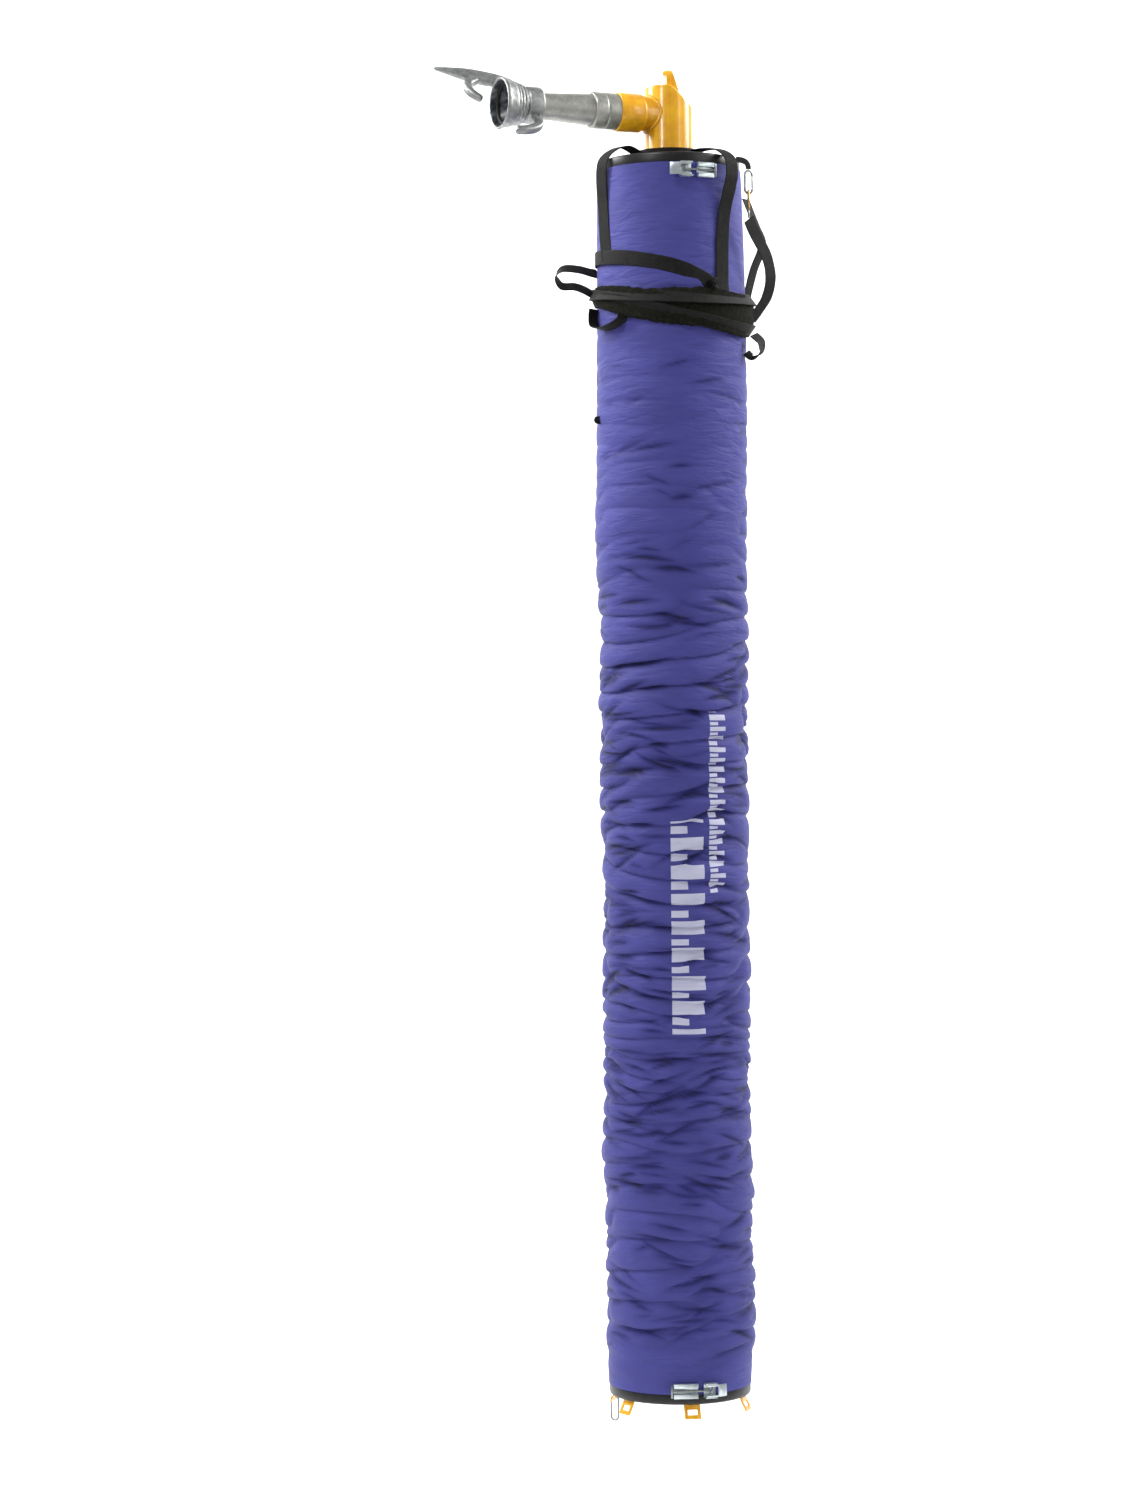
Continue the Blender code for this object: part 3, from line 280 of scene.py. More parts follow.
def rounded(corners, size, steps=4):
    """Closed outline with its corners eased: each is a quadratic curve that starts and ends size from the corner,
    or a third of the way to the next corner where that is nearer."""
    at = np.array(corners, float)
    back = np.roll(at, 1, axis=0) - at
    forth = np.roll(at, -1, axis=0) - at
    back_long = np.linalg.norm(back, axis=1)[:, None]
    forth_long = np.linalg.norm(forth, axis=1)[:, None]
    reach = np.minimum(size, np.minimum(back_long, forth_long) / 3)
    start = at + back / back_long * reach
    stop = at + forth / forth_long * reach
    t = np.linspace(0, 1, steps + 1)[None, :, None]
    bends = (1 - t) ** 2 * start[:, None] + 2 * t * (1 - t) * at[:, None] + t**2 * stop[:, None]
    return bends.reshape(-1, at.shape[1])


def smooth_line(points, steps=8, closed=False):
    """Catmull-Rom curve: 0.5 (2 b + (c - a) t + (2 a - 5 b + 4 c - d) t2 + (3 b - a - 3 c + d) t3) on each span."""
    p = np.array(points, float)
    ends = (p[-1:], p[:2]) if closed else (2 * p[:1] - p[1:2], 2 * p[-1:] - p[-2:-1])
    line = np.concatenate([ends[0], p, ends[1]])
    a, b, c, d = line[:-3, None], line[1:-2, None], line[2:-1, None], line[3:, None]
    t = np.linspace(0, 1, steps, endpoint=False)[None, :, None]
    curve = 0.5 * (2 * b + (c - a) * t + (2 * a - 5 * b + 4 * c - d) * t**2 + (3 * b - a - 3 * c + d) * t**3)
    curve = curve.reshape(-1, p.shape[1])
    return curve if closed else np.concatenate([curve, p[-1:]])


def oval(width, depth, corner=2.0, count=24):
    """Closed superellipse of that width and depth: (|cos t|^(2/n) width/2, |sin t|^(2/n) depth/2), signs kept."""
    t = np.linspace(0, 2 * math.pi, count, endpoint=False)
    a = np.sign(np.cos(t)) * np.abs(np.cos(t)) ** (2 / corner) * width / 2
    b = np.sign(np.sin(t)) * np.abs(np.sin(t)) ** (2 / corner) * depth / 2
    return np.stack([a, b], axis=1)


def with_ends(rows, closed):
    """Rows with the first one again at the end where closed, otherwise with a row at each end on its centre."""
    if closed:
        return np.concatenate([rows, rows[:1]])
    first, last = (np.repeat(row.mean(1, keepdims=True), rows.shape[1], 1) for row in (rows[:1], rows[-1:]))
    return np.concatenate([first, rows, last])


def carried(name, path, section, normal, closed=False):
    """A section carried along a path: point = path + normal a + binormal b for its points (a, b); section is one
    outline or one for each path point, and normal is squared up against the path. Ends are closed to their centre.
    The attribute run holds (a, b, length along the path) in metres."""
    path = np.array(path, float)
    forward = np.roll(path, -1, axis=0) - np.roll(path, 1, axis=0) if closed else np.gradient(path, axis=0)
    forward /= np.linalg.norm(forward, axis=1)[:, None]
    normal = np.broadcast_to(np.array(normal, float), path.shape)
    normal = normal - forward * np.sum(normal * forward, axis=1)[:, None]
    normal /= np.linalg.norm(normal, axis=1)[:, None]
    binormal = np.cross(forward, normal)
    section = np.array(section, float)
    section = np.broadcast_to(section, (len(path),) + section.shape[-2:])
    points = path[:, None] + normal[:, None] * section[..., :1] + binormal[:, None] * section[..., 1:]
    length = np.concatenate([[0], np.cumsum(np.linalg.norm(np.diff(path, axis=0), axis=1))])
    run = np.concatenate([section, np.broadcast_to(length[:, None, None], section.shape[:2] + (1,))], axis=-1)
    mesh = surface(name, with_ends(points, closed))
    layer = mesh.attributes.new("run", "FLOAT_VECTOR", "POINT")
    layer.data.foreach_set("vector", with_ends(run, closed).astype(np.float32).ravel())
    return joined(name, [mesh], 50)


def place(name, mesh, finish, body, *stands_for):
    """Links the mesh as a piece with its finish, riding on a body and standing for CAD nodes."""
    made = bpy.data.objects.new(name, mesh)
    bpy.context.scene.collection.objects.link(made)
    mesh.materials.clear()
    mesh.materials.append(finish)
    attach(made, body)
    if stands_for:
        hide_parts(*stands_for)
    return made


def refined(node, finish, edge, segments=3, angle=30.0):
    """Finer copy of a hard part: doubles merged, flat faces joined, and every edge sharper than the angle rounded
    to that radius in metres."""
    work = bmesh.new()
    work.from_mesh(frame["nodes"][node].data)
    bmesh.ops.remove_doubles(work, verts=work.verts, dist=1e-5)
    bmesh.ops.dissolve_limit(work, angle_limit=math.radians(2), verts=work.verts, edges=work.edges)
    mesh = bpy.data.meshes.new(node + "_finished")
    work.to_mesh(mesh)
    work.free()
    mesh.shade_smooth()
    made = place(node + "_finished", mesh, finish, frame["nodes"][node]["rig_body"], node)
    easing = made.modifiers.new("rounded_edges", "BEVEL")
    easing.width = edge
    easing.segments = segments
    easing.limit_method = "ANGLE"
    easing.angle_limit = math.radians(angle)
    easing.harden_normals = True
    return made


# Glossy spray enamel on welded steel: even golden yellow with a fine orange-peel ripple, browner where dust sits
# in the rough places, with faint upright streaks of lighter and darker colour. Its clear gloss draws long narrow
# reflections.
enamel, tree, shader = finish_named("gloss_yellow_enamel", 0.28, **{"Coat Weight": 0.5, "Coat Roughness": 0.1})
where = add_node(tree, "TexCoord").outputs["Object"]
dust = noise_of(tree, where, 34.0, 5.0, 0.65)
tone = ramped(tree, dust, (0.36, "FFC022"), last=(0.72, "E79C0E"))
streak_at = add_node(tree, "Mapping", {"Vector": where, "Scale": (150.0, 150.0, 5.0)})
streak = noise_of(tree, streak_at.outputs["Vector"], 1.0)
streak_shade = add_node(tree, "MapRange", {"Value": streak, "To Min": 0.72, "To Max": 1.22})
streaked = add_node(tree, "HueSaturation", {"Color": tone, "Value": streak_shade.outputs["Result"]})
tree.links.new(streaked.outputs["Color"], shader.inputs["Base Color"])
raised(tree, shader, noise_of(tree, where, 400.0, 1.0), 0.15, 0.0006)
spread(tree, shader, dust, 0.18, 0.42)


def roof(x):
    """Height of the closing plate: level, then falling at the slope past the ridge, which is eased over 4 mm."""
    past = x - RIDGE_X
    return ELBOW_TOP - SLOPE * (past + np.sqrt(past**2 + 0.003**2)) / 2


elbow_turn = np.linspace(0, 2 * math.pi, 128, endpoint=False)
round_x = np.cos(elbow_turn)
round_y = np.sin(elbow_turn)
EDGE = 0.0035
bend = np.linspace(0, math.pi / 2, 7)[1:]
edge_radius = ELBOW_RADIUS - EDGE * (1 - np.cos(bend))
roof_radius = np.concatenate([edge_radius, np.linspace(ELBOW_RADIUS - EDGE, 0, 16)[1:]])
roof_drop = np.concatenate([EDGE * (1 - np.sin(bend)), np.zeros(15)])
roof_x = roof_radius[:, None] * round_x
roof_rows = np.stack([roof_x, roof_radius[:, None] * round_y, roof(roof_x) - roof_drop[:, None]], axis=-1)
climb = np.linspace(0, 1, 24)[:, None]
wall_z = ELBOW_FOOT + climb * (roof(ELBOW_RADIUS * round_x) - EDGE - ELBOW_FOOT)
wall_rows = np.stack([ELBOW_RADIUS * round_x + 0 * wall_z, ELBOW_RADIUS * round_y + 0 * wall_z, wall_z], axis=-1)
inner = np.array([(0.0, -0.0535), (ELBOW_BORE, -0.0535), (ELBOW_BORE, ELBOW_FOOT)])
inner_rows = np.stack(
    [inner[:, :1] * round_x, inner[:, :1] * round_y, np.broadcast_to(inner[:, 1:], (3, 128))], axis=-1
)
upright = surface("elbow_upright", np.concatenate([inner_rows, wall_rows, roof_rows]))
arm = turned(
    "elbow_branch",
    [(0.0, 0.0), (0.0, BRANCH_RADIUS), (0.064, BRANCH_RADIUS), (0.0665, BRANCH_RADIUS + 0.0022)]
    + [(0.069, SOCKET_RADIUS - 0.0006), (0.072, SOCKET_RADIUS), (0.1195, SOCKET_RADIUS)]
    + [(0.1215, SOCKET_RADIUS - 0.0006), (0.122, SOCKET_RADIUS - 0.002), (0.122, 0.0)],
    BRANCH_START, BRANCH_WAY, BRANCH_SIDE,
)
# The weld follows the line where the branch meets the upright: s = sqrt(R2 - (r cos t)2) along the branch.
weld_turn = np.linspace(0, 2 * math.pi, 160, endpoint=False)[:, None]
weld_out = BRANCH_SIDE * np.cos(weld_turn) + np.cross(BRANCH_WAY, BRANCH_SIDE) * np.sin(weld_turn)
weld_along = np.sqrt(ELBOW_RADIUS**2 - (BRANCH_RADIUS * np.cos(weld_turn)) ** 2)
weld_path = BRANCH_START + BRANCH_WAY * weld_along + weld_out * BRANCH_RADIUS
bead = 1 + 0.12 * np.sin(60 * weld_turn)[:, None]
weld = carried("branch_weld", weld_path, oval(0.0075, 0.0075) * bead, weld_out, closed=True)
elbow_mesh = joined("elbow_shell", [upright, arm, weld])
elbow = place("elbow_shell", elbow_mesh, enamel, "head", "swivel_elbow")
refined("suspension_eye", enamel, 0.0028, 4)

# ----------------------------------------------------------
# Suction line: a pipe socket screwed to the branch, a tapered pipe and a flared coupling cup with its rubber seal.
# Steel tube and malleable castings, hot-dip galvanised.
# ----------------------------------------------------------
RING_MIDDLE = 0.312

# Hot-dip zinc: dull silver-grey with a mottled spangle a few millimetres across, darker in the casting's pits.
def galvanised_finish(name, bright, dark, pits):
    """Weathered zinc between two greys, with casting pits of the given depth in metres."""
    made, tree, shader = finish_named(name, 0.42, 0.75)
    where = add_node(tree, "TexCoord").outputs["Object"]
    spangle = add_node(tree, "TexVoronoi", {"Vector": where, "Scale": 170.0, "Randomness": 1.0})
    cloud = noise_of(tree, where, 60.0, 6.0, 0.7)
    flake = add_node(tree, "MapRange", {"Value": spangle.outputs["Color"], "To Min": 0.0, "To Max": 0.22})
    blend = math_of(tree, "ADD", flake.outputs["Result"], cloud)
    tone = ramped(tree, blend, (0.35, dark), last=(0.85, bright))
    tree.links.new(tone, shader.inputs["Base Color"])
    spread(tree, shader, cloud, 0.3, 0.6)
    raised(tree, shader, noise_of(tree, where, 260.0, 3.0), 0.5, pits)
    return made


zinc_dip = galvanised_finish("galvanised_steel_tube", "BEBEB6", "97988F", 0.0002)
zinc_cast = galvanised_finish("galvanised_casting", "B4B6B2", "7C7E80", 0.0006)
line = (BRANCH_START, BRANCH_WAY, BRANCH_SIDE)
collar = [(0.086, 0.0328), (0.1222, 0.0328), (0.1222, 0.0375), (0.1485, 0.0375), (0.15, 0.0368), (0.1525, 0.0368),
          (0.154, 0.0375), (0.1765, 0.0375), (0.18, 0.0352), (0.18, 0.0325), (0.16, 0.0325), (0.16, 0.029),
          (0.086, 0.029)]
collar_mesh = joined("suction_collar_turned", [turned("collar", rounded(collar, 0.0014), *line)])
place("suction_collar_turned", collar_mesh, zinc_dip, "head", "suction_collar")
pipe = [(0.1602, 0.0322), (0.184, 0.0322), (0.284, 0.0272), (0.345, 0.0272), (0.345, 0.0242), (0.284, 0.0242),
        (0.184, 0.0292), (0.1602, 0.0292)]
pipe_mesh = joined("suction_pipe_drawn", [turned("pipe", rounded(pipe, 0.002), *line)])
place("suction_pipe_drawn", pipe_mesh, zinc_dip, "head", "suction_pipe")
cup = [(0.3305, 0.0274), (0.3452, 0.0274), (0.352, 0.036), (0.366, 0.0435), (0.38, 0.0465), (0.3835, 0.048),
       (0.3842, 0.05), (0.3835, 0.0518), (0.381, 0.0527), (0.377, 0.0522), (0.3735, 0.05), (0.366, 0.0482),
       (0.3595, 0.047), (0.3555, 0.0445), (0.352, 0.0448), (0.349, 0.0425), (0.3455, 0.044), (0.3415, 0.0405),
       (0.3375, 0.0418), (0.3335, 0.0375), (0.3305, 0.036)]
cup_mesh = joined("coupling_cup_cast", [turned("cup", rounded(cup, 0.0022, 3), *line, rough=0.00022)], 60)
# Inside, the cup is painted dark as shade: inside is 1 at its inner wall and 0 from 1 mm outside it.
spots = np.zeros(3 * len(cup_mesh.vertices))
cup_mesh.vertices.foreach_get("co", spots)
spots = spots.reshape(-1, 3) - BRANCH_START
spot_along = spots @ BRANCH_WAY
spot_out = np.linalg.norm(spots - spot_along[:, None] * BRANCH_WAY, axis=1)
inner_wall = np.interp(spot_along, (0.345, 0.352, 0.366, 0.38, 0.3842), (0.0274, 0.036, 0.0435, 0.0465, 0.049))
painted_shade_inside = np.clip((inner_wall + 0.0010 - spot_out) / 0.0012, 0, 1)
painted_shade_inside *= np.clip((0.3835 - spot_along) / 0.002, 0, 1)
cup_mesh.attributes.new("inside", "FLOAT", "POINT").data.foreach_set("value", painted_shade_inside.astype(np.float32))
zinc_cup = galvanised_finish("galvanised_casting_painted_shade_inside", "B4B6B2", "7C7E80", 0.0006)
tree = zinc_cup.node_tree
shader = next(node for node in tree.nodes if node.type == "BSDF_PRINCIPLED")
outside = shader.inputs["Base Color"].links[0].from_socket
# Painted shade: the colour of the cup's inner wall is mixed towards dark grey 33383F.
painted_shade_share = add_node(tree, "Attribute", attribute_name="inside").outputs["Fac"]
tree.links.new(mixed(tree, painted_shade_share, outside, "33383F"), shader.inputs["Base Color"])
cup_piece = place("coupling_cup_cast", cup_mesh, zinc_cup, "head", "coupling_cup")

# Moulded rubber: matt near-black, faintly mottled with dust.
rubber, tree, shader, grain = mottled(
    "moulded_black_rubber", 0.75, 0.0, 300.0, 4.0, (0.0, "161616"), (1.0, "242424")
)
raised(tree, shader, grain, 0.3, 0.0004)
refined("coupling_seal", rubber, 0.0008, 2)

# ----------------------------------------------------------
# Coupling ring: a cast barrel that turns on the pipe, with two ears. The closing hook swings on the near ear's
# pin and the long hand lever, with its own hook under it, on the far one. Malleable castings, galvanised.
# ----------------------------------------------------------
EAR_WAY = np.array([0.2876, -0.646, -0.7071])
EAR_ACROSS = np.array([0.2876, -0.646, 0.7071])
PIN_HEIGHT = 0.048
refined("lever_ring", zinc_cast, 0.002, 3)

# Turned steel: bright, with a little smudging.
bright_steel, tree, shader, smudge = mottled(
    "turned_bright_steel", 0.3, 1.0, 120.0, 4.0, (0.0, "6A6D6C"), (1.0, "B4B8B6")
)
spread(tree, shader, smudge, 0.2, 0.45)
for pin_node in ("ear_pin_near", "ear_pin_far"):
    refined(pin_node, bright_steel, 0.0008, 2)


def cast_bar(name, side, line, sizes, depth):
    """Cast bar in the plane of an ear's hook: line of (forward, outward) from the pin, sizes of half width in that
    plane and depth across it, both read along the line, with rounded ends."""
    path = smooth_line(line, 10)
    step = np.concatenate([[0], np.cumsum(np.linalg.norm(np.diff(path, axis=0), axis=1))])
    share = step / step[-1]
    half = np.interp(share, np.linspace(0, 1, len(sizes)), sizes)
    deep = np.interp(share, np.linspace(0, 1, len(depth)), depth)
    nose = np.sqrt(1 - np.clip(1 - np.minimum(step, step[-1] - step) / (0.7 * half), 0, 0.97) ** 2)
    centre = BRANCH_START + BRANCH_WAY * RING_MIDDLE + EAR_WAY * side * PIN_HEIGHT
    place_3d = centre + path[:, :1] * BRANCH_WAY + side * path[:, 1:] * EAR_WAY
    outline = oval(2.0, 2.0, 3.2)[None] * np.stack([deep * nose, half * nose], axis=1)[:, None]
    return carried(name, place_3d, outline, EAR_ACROSS)


arc = np.linspace(0, math.pi / 2, 7)
hook_line = [(0.0, -0.006), (0.0, 0.004)]
hook_line += [(0.057 - 0.057 * math.cos(t), 0.008 + 0.0355 * math.sin(t)) for t in arc[1:]] + [(0.063, 0.0436)]
hook_mesh = cast_bar("closing_hook_cast", 1, hook_line, (0.008, 0.0088, 0.0088, 0.0088, 0.0084, 0.0076),
                     (0.0095, 0.0095, 0.0095, 0.0092, 0.0088, 0.008))
place("closing_hook_cast", hook_mesh, zinc_cast, "closing_hook", "coupling_hook")
grip_line = [(-0.003, -0.004), (0.006, 0.006), (0.018, 0.016), (0.045, 0.03), (0.085, 0.039), (0.13, 0.05),
             (0.184, 0.0615)]
grip = cast_bar("lever_grip", -1, grip_line,
                (0.0078, 0.0092, 0.013, 0.0165, 0.0178, 0.0168, 0.0128, 0.0078, 0.003),
                (0.0095, 0.0095, 0.01, 0.0105, 0.0105, 0.0098, 0.008, 0.0054, 0.0026))
claw_line = [(0.098, 0.03), (0.117, 0.018), (0.1265, 0.0), (0.1225, -0.02), (0.1115, -0.034), (0.105, -0.039)]
claw = cast_bar("lever_claw", -1, claw_line, (0.0098, 0.0094, 0.0088, 0.0084, 0.0074),
                (0.0095, 0.0092, 0.0086, 0.008, 0.007))
lever_mesh = joined("hand_lever_cast", [grip, claw], 50)
place("hand_lever_cast", lever_mesh, zinc_cast, "closing_lever", "hand_lever")

# ----------------------------------------------------------
# Top plate with its neck bush and seal. Turned aluminium casting with a deep skirt for the hose and the cover,
# powder coated black; the bush turns on the elbow's neck.
# ----------------------------------------------------------
PLATE_TOP = -0.165
FOOT_FACE = -2.724

# Black powder coat: satin with a fine bubbled texture and pale scuffs.
powder, tree, shader, _ = mottled(
    "black_powder_coat", 0.38, 0.0, 55.0, 7.0, (0.4, "0B0B0C"), (0.8, "232325"), 0.7
)
raised(tree, shader, noise_of(tree, None, 500.0), 0.3, 0.0005)

X_WAY = np.array([1.0, 0.0, 0.0])


def end_casting(name, node, edge_height, way, bore, groove):
    """Plate, rim, skirt and hose spigot, turned round the tube: rows of (depth into the tube, radius)."""
    rows = [(0, bore), *groove, (0, 0.143), (0.0015, 0.1455), (0.005, 0.147), (0.021, 0.147), (0.021, 0.143),
            (0.064, 0.143), (0.064, 0.139), (0.01, 0.139), (0.01, 0.134), (0.118, 0.134), (0.118, 0.128),
            (0.01, 0.128), (0.01, bore)]
    shape = turned(name, rounded(rows, 0.0012, 2), np.array([0, 0, edge_height]), UP * way, X_WAY, 160)
    return place(name, joined(name, [shape]), powder, "tube_top" if way < 0 else "tube_foot", node)


end_casting("top_plate_cast", "top_plate", PLATE_TOP, -1, 0.051, [])
bush = [(-0.1648, 0.051), (-0.1648, 0.062), (-0.147, 0.062), (-0.144, 0.059), (-0.144, 0.0555), (-0.152, 0.0555),
        (-0.152, 0.051)]
bush_mesh = joined("neck_bush_turned", [turned("bush", rounded(bush, 0.0015), np.zeros(3), UP, X_WAY)])
place("neck_bush_turned", bush_mesh, powder, "tube_top", "neck_bush")
refined("shaft_seal", rubber, 0.0005, 2)

# ----------------------------------------------------------
# Lifting hose, its spring wire and clamps, and the thrust bearing, all inside the cover. Rubber-coated fabric
# hose over a steel helix, pulled on to the spigots and clamped; they show only at the foot's mouth and in a section.
# ----------------------------------------------------------
# Oil-tempered spring wire: dark grey with a blue cast.
spring_wire = mottled("tempered_spring_wire", 0.4, 1.0, 80.0, 3.0, (0.0, "54575C"), (1.0, "7C7F84"))[0]
# Bright zinc plate: pale silver with a bluish passivated tint and faint cloudy streaks.
zinc_plate, tree, shader, cloud = mottled(
    "bright_zinc_plate", 0.3, 0.85, 90.0, 4.0, (0.0, "AEBDC0"), (1.0, "EEF4F6")
)
spread(tree, shader, cloud, 0.22, 0.42)
HOSE_RADIUS = 0.1343
HOSE_WALL = 0.003
HOSE_ENDS = (-0.177, -2.712)
WIRE_ENDS = (-0.293, -2.5957)
WIRE_REACH = 0.1317
WIRE_SIZE = 0.004
WIRE_TURNS = 16
hose_level = np.linspace(*HOSE_ENDS, 400)
# Between its clamped ends the hose swells by 1 mm, twice in each turn of the helix.
swell = 0.001 * np.sin(hose_level / 0.0229) ** 2 * np.clip((-hose_level - 0.31) / 0.02, 0, 1)
swell *= np.clip((hose_level + 2.58) / 0.02, 0, 1)
hose_rows = [(level, HOSE_RADIUS + out) for level, out in zip(hose_level, swell)]
hose_rows += [(level, HOSE_RADIUS + HOSE_WALL + out) for level, out in zip(hose_level[::-1], swell[::-1])]
hose_mesh = joined("lifting_hose_wall", [turned("hose", hose_rows, np.zeros(3), UP, X_WAY, 96)])
hose = place("lifting_hose_wall", hose_mesh, rubber, "tube_top", "lifting_hose")
wire_turn = np.linspace(0, WIRE_TURNS * 2 * math.pi, WIRE_TURNS * 40 + 1)
wire_level = np.linspace(*WIRE_ENDS, len(wire_turn))
wire_path = np.stack([WIRE_REACH * np.cos(wire_turn), WIRE_REACH * np.sin(wire_turn), wire_level], axis=1)
wire_mesh = carried("hose_spring_coil", wire_path, oval(WIRE_SIZE, WIRE_SIZE, 2.0, 12), (0, 0, 1))
coil = place("hose_spring_coil", wire_mesh, spring_wire, "tube_top", "hose_spring_wire")
for piece, (upper_end, lower_end) in ((hose, HOSE_ENDS), (coil, WIRE_ENDS)):
    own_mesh(piece)
for node, inside_finish in (
    ("upper_hose_clamp", zinc_plate), ("lower_hose_clamp", zinc_plate), ("upper_draw_band", bright_steel),
    ("lower_draw_band", bright_steel), ("retaining_ring", bright_steel), ("thrust_bearing", bright_steel),
):
    frame["nodes"][node].data.materials.clear()
    frame["nodes"][node].data.materials.append(inside_finish)

# ----------------------------------------------------------
# Cover sleeve: a long bag of blue-violet coated nylon over the lifting hose. It is cut longer than the hose and
# held at both ends by draw bands, so it gathers in soft level pillows with sharp creases; lapped back seam.
# ----------------------------------------------------------
SLEEVE_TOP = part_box("cover_sleeve")[1].z
SLEEVE_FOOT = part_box("cover_sleeve")[0].z
CLOTH_RADIUS = 0.150
ROWS = 721
COLUMNS = 130
LAP_COLUMNS = 3

# By height: how far the cover stands out to the left and to the right, how much longer the cloth is cut than the
# height it fills, the depth of its pillows and the height of one, and the depth and number of its creases. It is
# smooth under the top band, wrinkled below the harness, deeply gathered in the middle, crushed close at two
# thirds, then broad and soft.
outline_z = np.array([0.186, 0.24, 0.51, 0.76, 0.93, 1.07, 1.156, 1.281, 1.49, 1.7, 1.906, 2.114, 2.218, 2.302,
                      2.406, 2.49, 2.614, 2.66, 2.703])
outline_left = np.array([0.1485, 0.15, 0.1525, 0.1545, 0.1605, 0.154, 0.148, 0.1535, 0.151, 0.15, 0.15, 0.1505,
                         0.1545, 0.149, 0.148, 0.1485, 0.1485, 0.1485, 0.148])
outline_right = np.array([0.1485, 0.15, 0.157, 0.1555, 0.154, 0.152, 0.152, 0.151, 0.151, 0.151, 0.15,
                          0.1495, 0.151, 0.1545, 0.149, 0.157, 0.1525, 0.149, 0.148])
fold_z = np.array([0.186, 0.28, 0.45, 0.6, 0.95, 1.05, 1.3, 1.85, 1.95, 2.08, 2.2, 2.6, 2.66, 2.703])
cut_ratio = np.array([1.00, 1.00, 1.04, 1.09, 1.12, 1.3, 1.39, 1.39, 1.48, 1.51, 1.33, 1.3, 1.1, 1.0])
pillow_depth = np.array([0, 0.0002, 0.0005, 0.0014, 0.0026, 0.0052, 0.0066, 0.0066, 0.005, 0.005, 0.0058, 0.0056,
                         0.001, 0.0])
pillow_pitch = np.array([0.06, 0.06, 0.055, 0.052, 0.05, 0.056, 0.06, 0.056, 0.036, 0.034, 0.058, 0.06, 0.06,
                         0.06])
crease_depth = np.array([0, 0.0008, 0.0012, 0.0032, 0.0048, 0.0062, 0.0068, 0.0066, 0.0052, 0.005, 0.0058, 0.0052,
                         0.0014, 0.0])
crease_crowd = np.array([0.1, 0.4, 0.8, 1.6, 2.2, 2.8, 3.0, 3.2, 5.0, 5.2, 3.4, 3.2, 2.0, 0.1])
CREASES = 860

height = np.linspace(SLEEVE_TOP, SLEEVE_FOOT, ROWS)
turn = np.linspace(-math.pi, math.pi, COLUMNS, endpoint=False)
ratio = np.interp(-height, fold_z, cut_ratio)
cut_length = np.concatenate([[0], np.cumsum((ratio[1:] + ratio[:-1]) / 2 * np.diff(-height))])


def crumple(seed, waves_round, count, run):
    """Random cloth field of unit spread on (turn, run): a sum of count cosines cos(m turn + 2 pi q run + phase),
    with whole m spread over +-waves_round and q near 1, worked out as a product of two small arrays."""
    draw = np.random.default_rng(seed)
    m = np.round(draw.normal(0, waves_round, count))
    q = 2 * math.pi * draw.normal(1, 0.22, count)
    phase = draw.uniform(0, 2 * math.pi, count)
    along = np.concatenate([np.cos(run[:, None] * q), -np.sin(run[:, None] * q)], axis=1)
    spun = m[:, None] * turn + phase[:, None]
    ringed = np.concatenate([np.cos(spun), np.sin(spun)])
    return along @ ringed * math.sqrt(2 / count)


def creased(seed, count):
    """Depth in metres, and painted shade from 0 to 1, of short sharp creases in the cloth. A crease is a shallow arc
    d = dz - slope du - curve du2, deepest on its line and falling off as exp(-d / width), gently on one side and
    steeply on the other, and it dies away towards both ends as (1 - (du / half length)2)2. Their sum levels off at
    twice the local depth. The painted shade is darkest on each crease's line and goes into the cloth's colour."""
    draw = np.random.default_rng(seed)
    crowd = np.cumsum(np.interp(-height, fold_z, crease_crowd))
    at_row = np.interp(draw.uniform(0, crowd[-1], count), crowd, np.arange(ROWS))
    at_column = draw.uniform(0, COLUMNS, count)
    spin = at_column / COLUMNS * 2 * math.pi
    slope = draw.normal(0, 0.22, count) + 0.16 * np.sin(3 * spin + at_row / 23)
    curve = draw.normal(0, 1.3, count)
    half = draw.uniform(0.03, 0.095, count)
    gentle = draw.uniform(0.007, 0.015, count)
    steep = draw.uniform(0.0024, 0.0045, count)
    flip = draw.choice([-1.0, 1.0], count, p=[0.35, 0.65])
    at_height = np.interp(at_row, np.arange(ROWS), height)
    deep = draw.uniform(0.35, 1.15, count) * np.interp(-at_height, fold_z, crease_depth)
    near_rows, near_columns = np.meshgrid(np.arange(-14, 15), np.arange(-14, 15), indexing="ij")
    rows = np.round(at_row).astype(int)[:, None, None] + near_rows
    columns = np.round(at_column).astype(int)[:, None, None] + near_columns
    by_crease = (at_row, at_column, slope, curve, half, gentle, steep, flip, deep)
    at_row, at_column, slope, curve, half, gentle, steep, flip, deep = (row[:, None, None] for row in by_crease)
    du = (columns - at_column) * 2 * math.pi * CLOTH_RADIUS / COLUMNS
    dz = (at_row - rows) * (SLEEVE_TOP - SLEEVE_FOOT) / (ROWS - 1)
    away = (dz - slope * du - curve * du**2) * flip
    across = np.where(away > 0, np.exp(-np.abs(away) / gentle), np.exp(-np.abs(away) / steep))
    fade = np.clip(1 - (du / half) ** 2, 0, 1) ** 2 * np.clip(1 - (near_rows / 14.0) ** 2, 0, 1)
    total = np.zeros((ROWS, COLUMNS))
    inside = (rows >= 0) & (rows < ROWS)
    np.add.at(total, (rows[inside], columns[inside] % COLUMNS), (deep * across * fade)[inside])
    # dark holds painted shade: strongest on the line of each crease and growing with its depth.
    dark = np.zeros((ROWS, COLUMNS))
    core = np.exp(-np.abs(away) / np.where(away > 0, 0.5 * gentle, steep)) * fade * np.clip(deep / 0.0062, 0, 1)
    np.maximum.at(dark, (rows[inside], columns[inside] % COLUMNS), core[inside])
    level = 2 * np.interp(-height, fold_z, crease_depth)[:, None] + 1e-6
    return level * np.tanh(total / level), dark


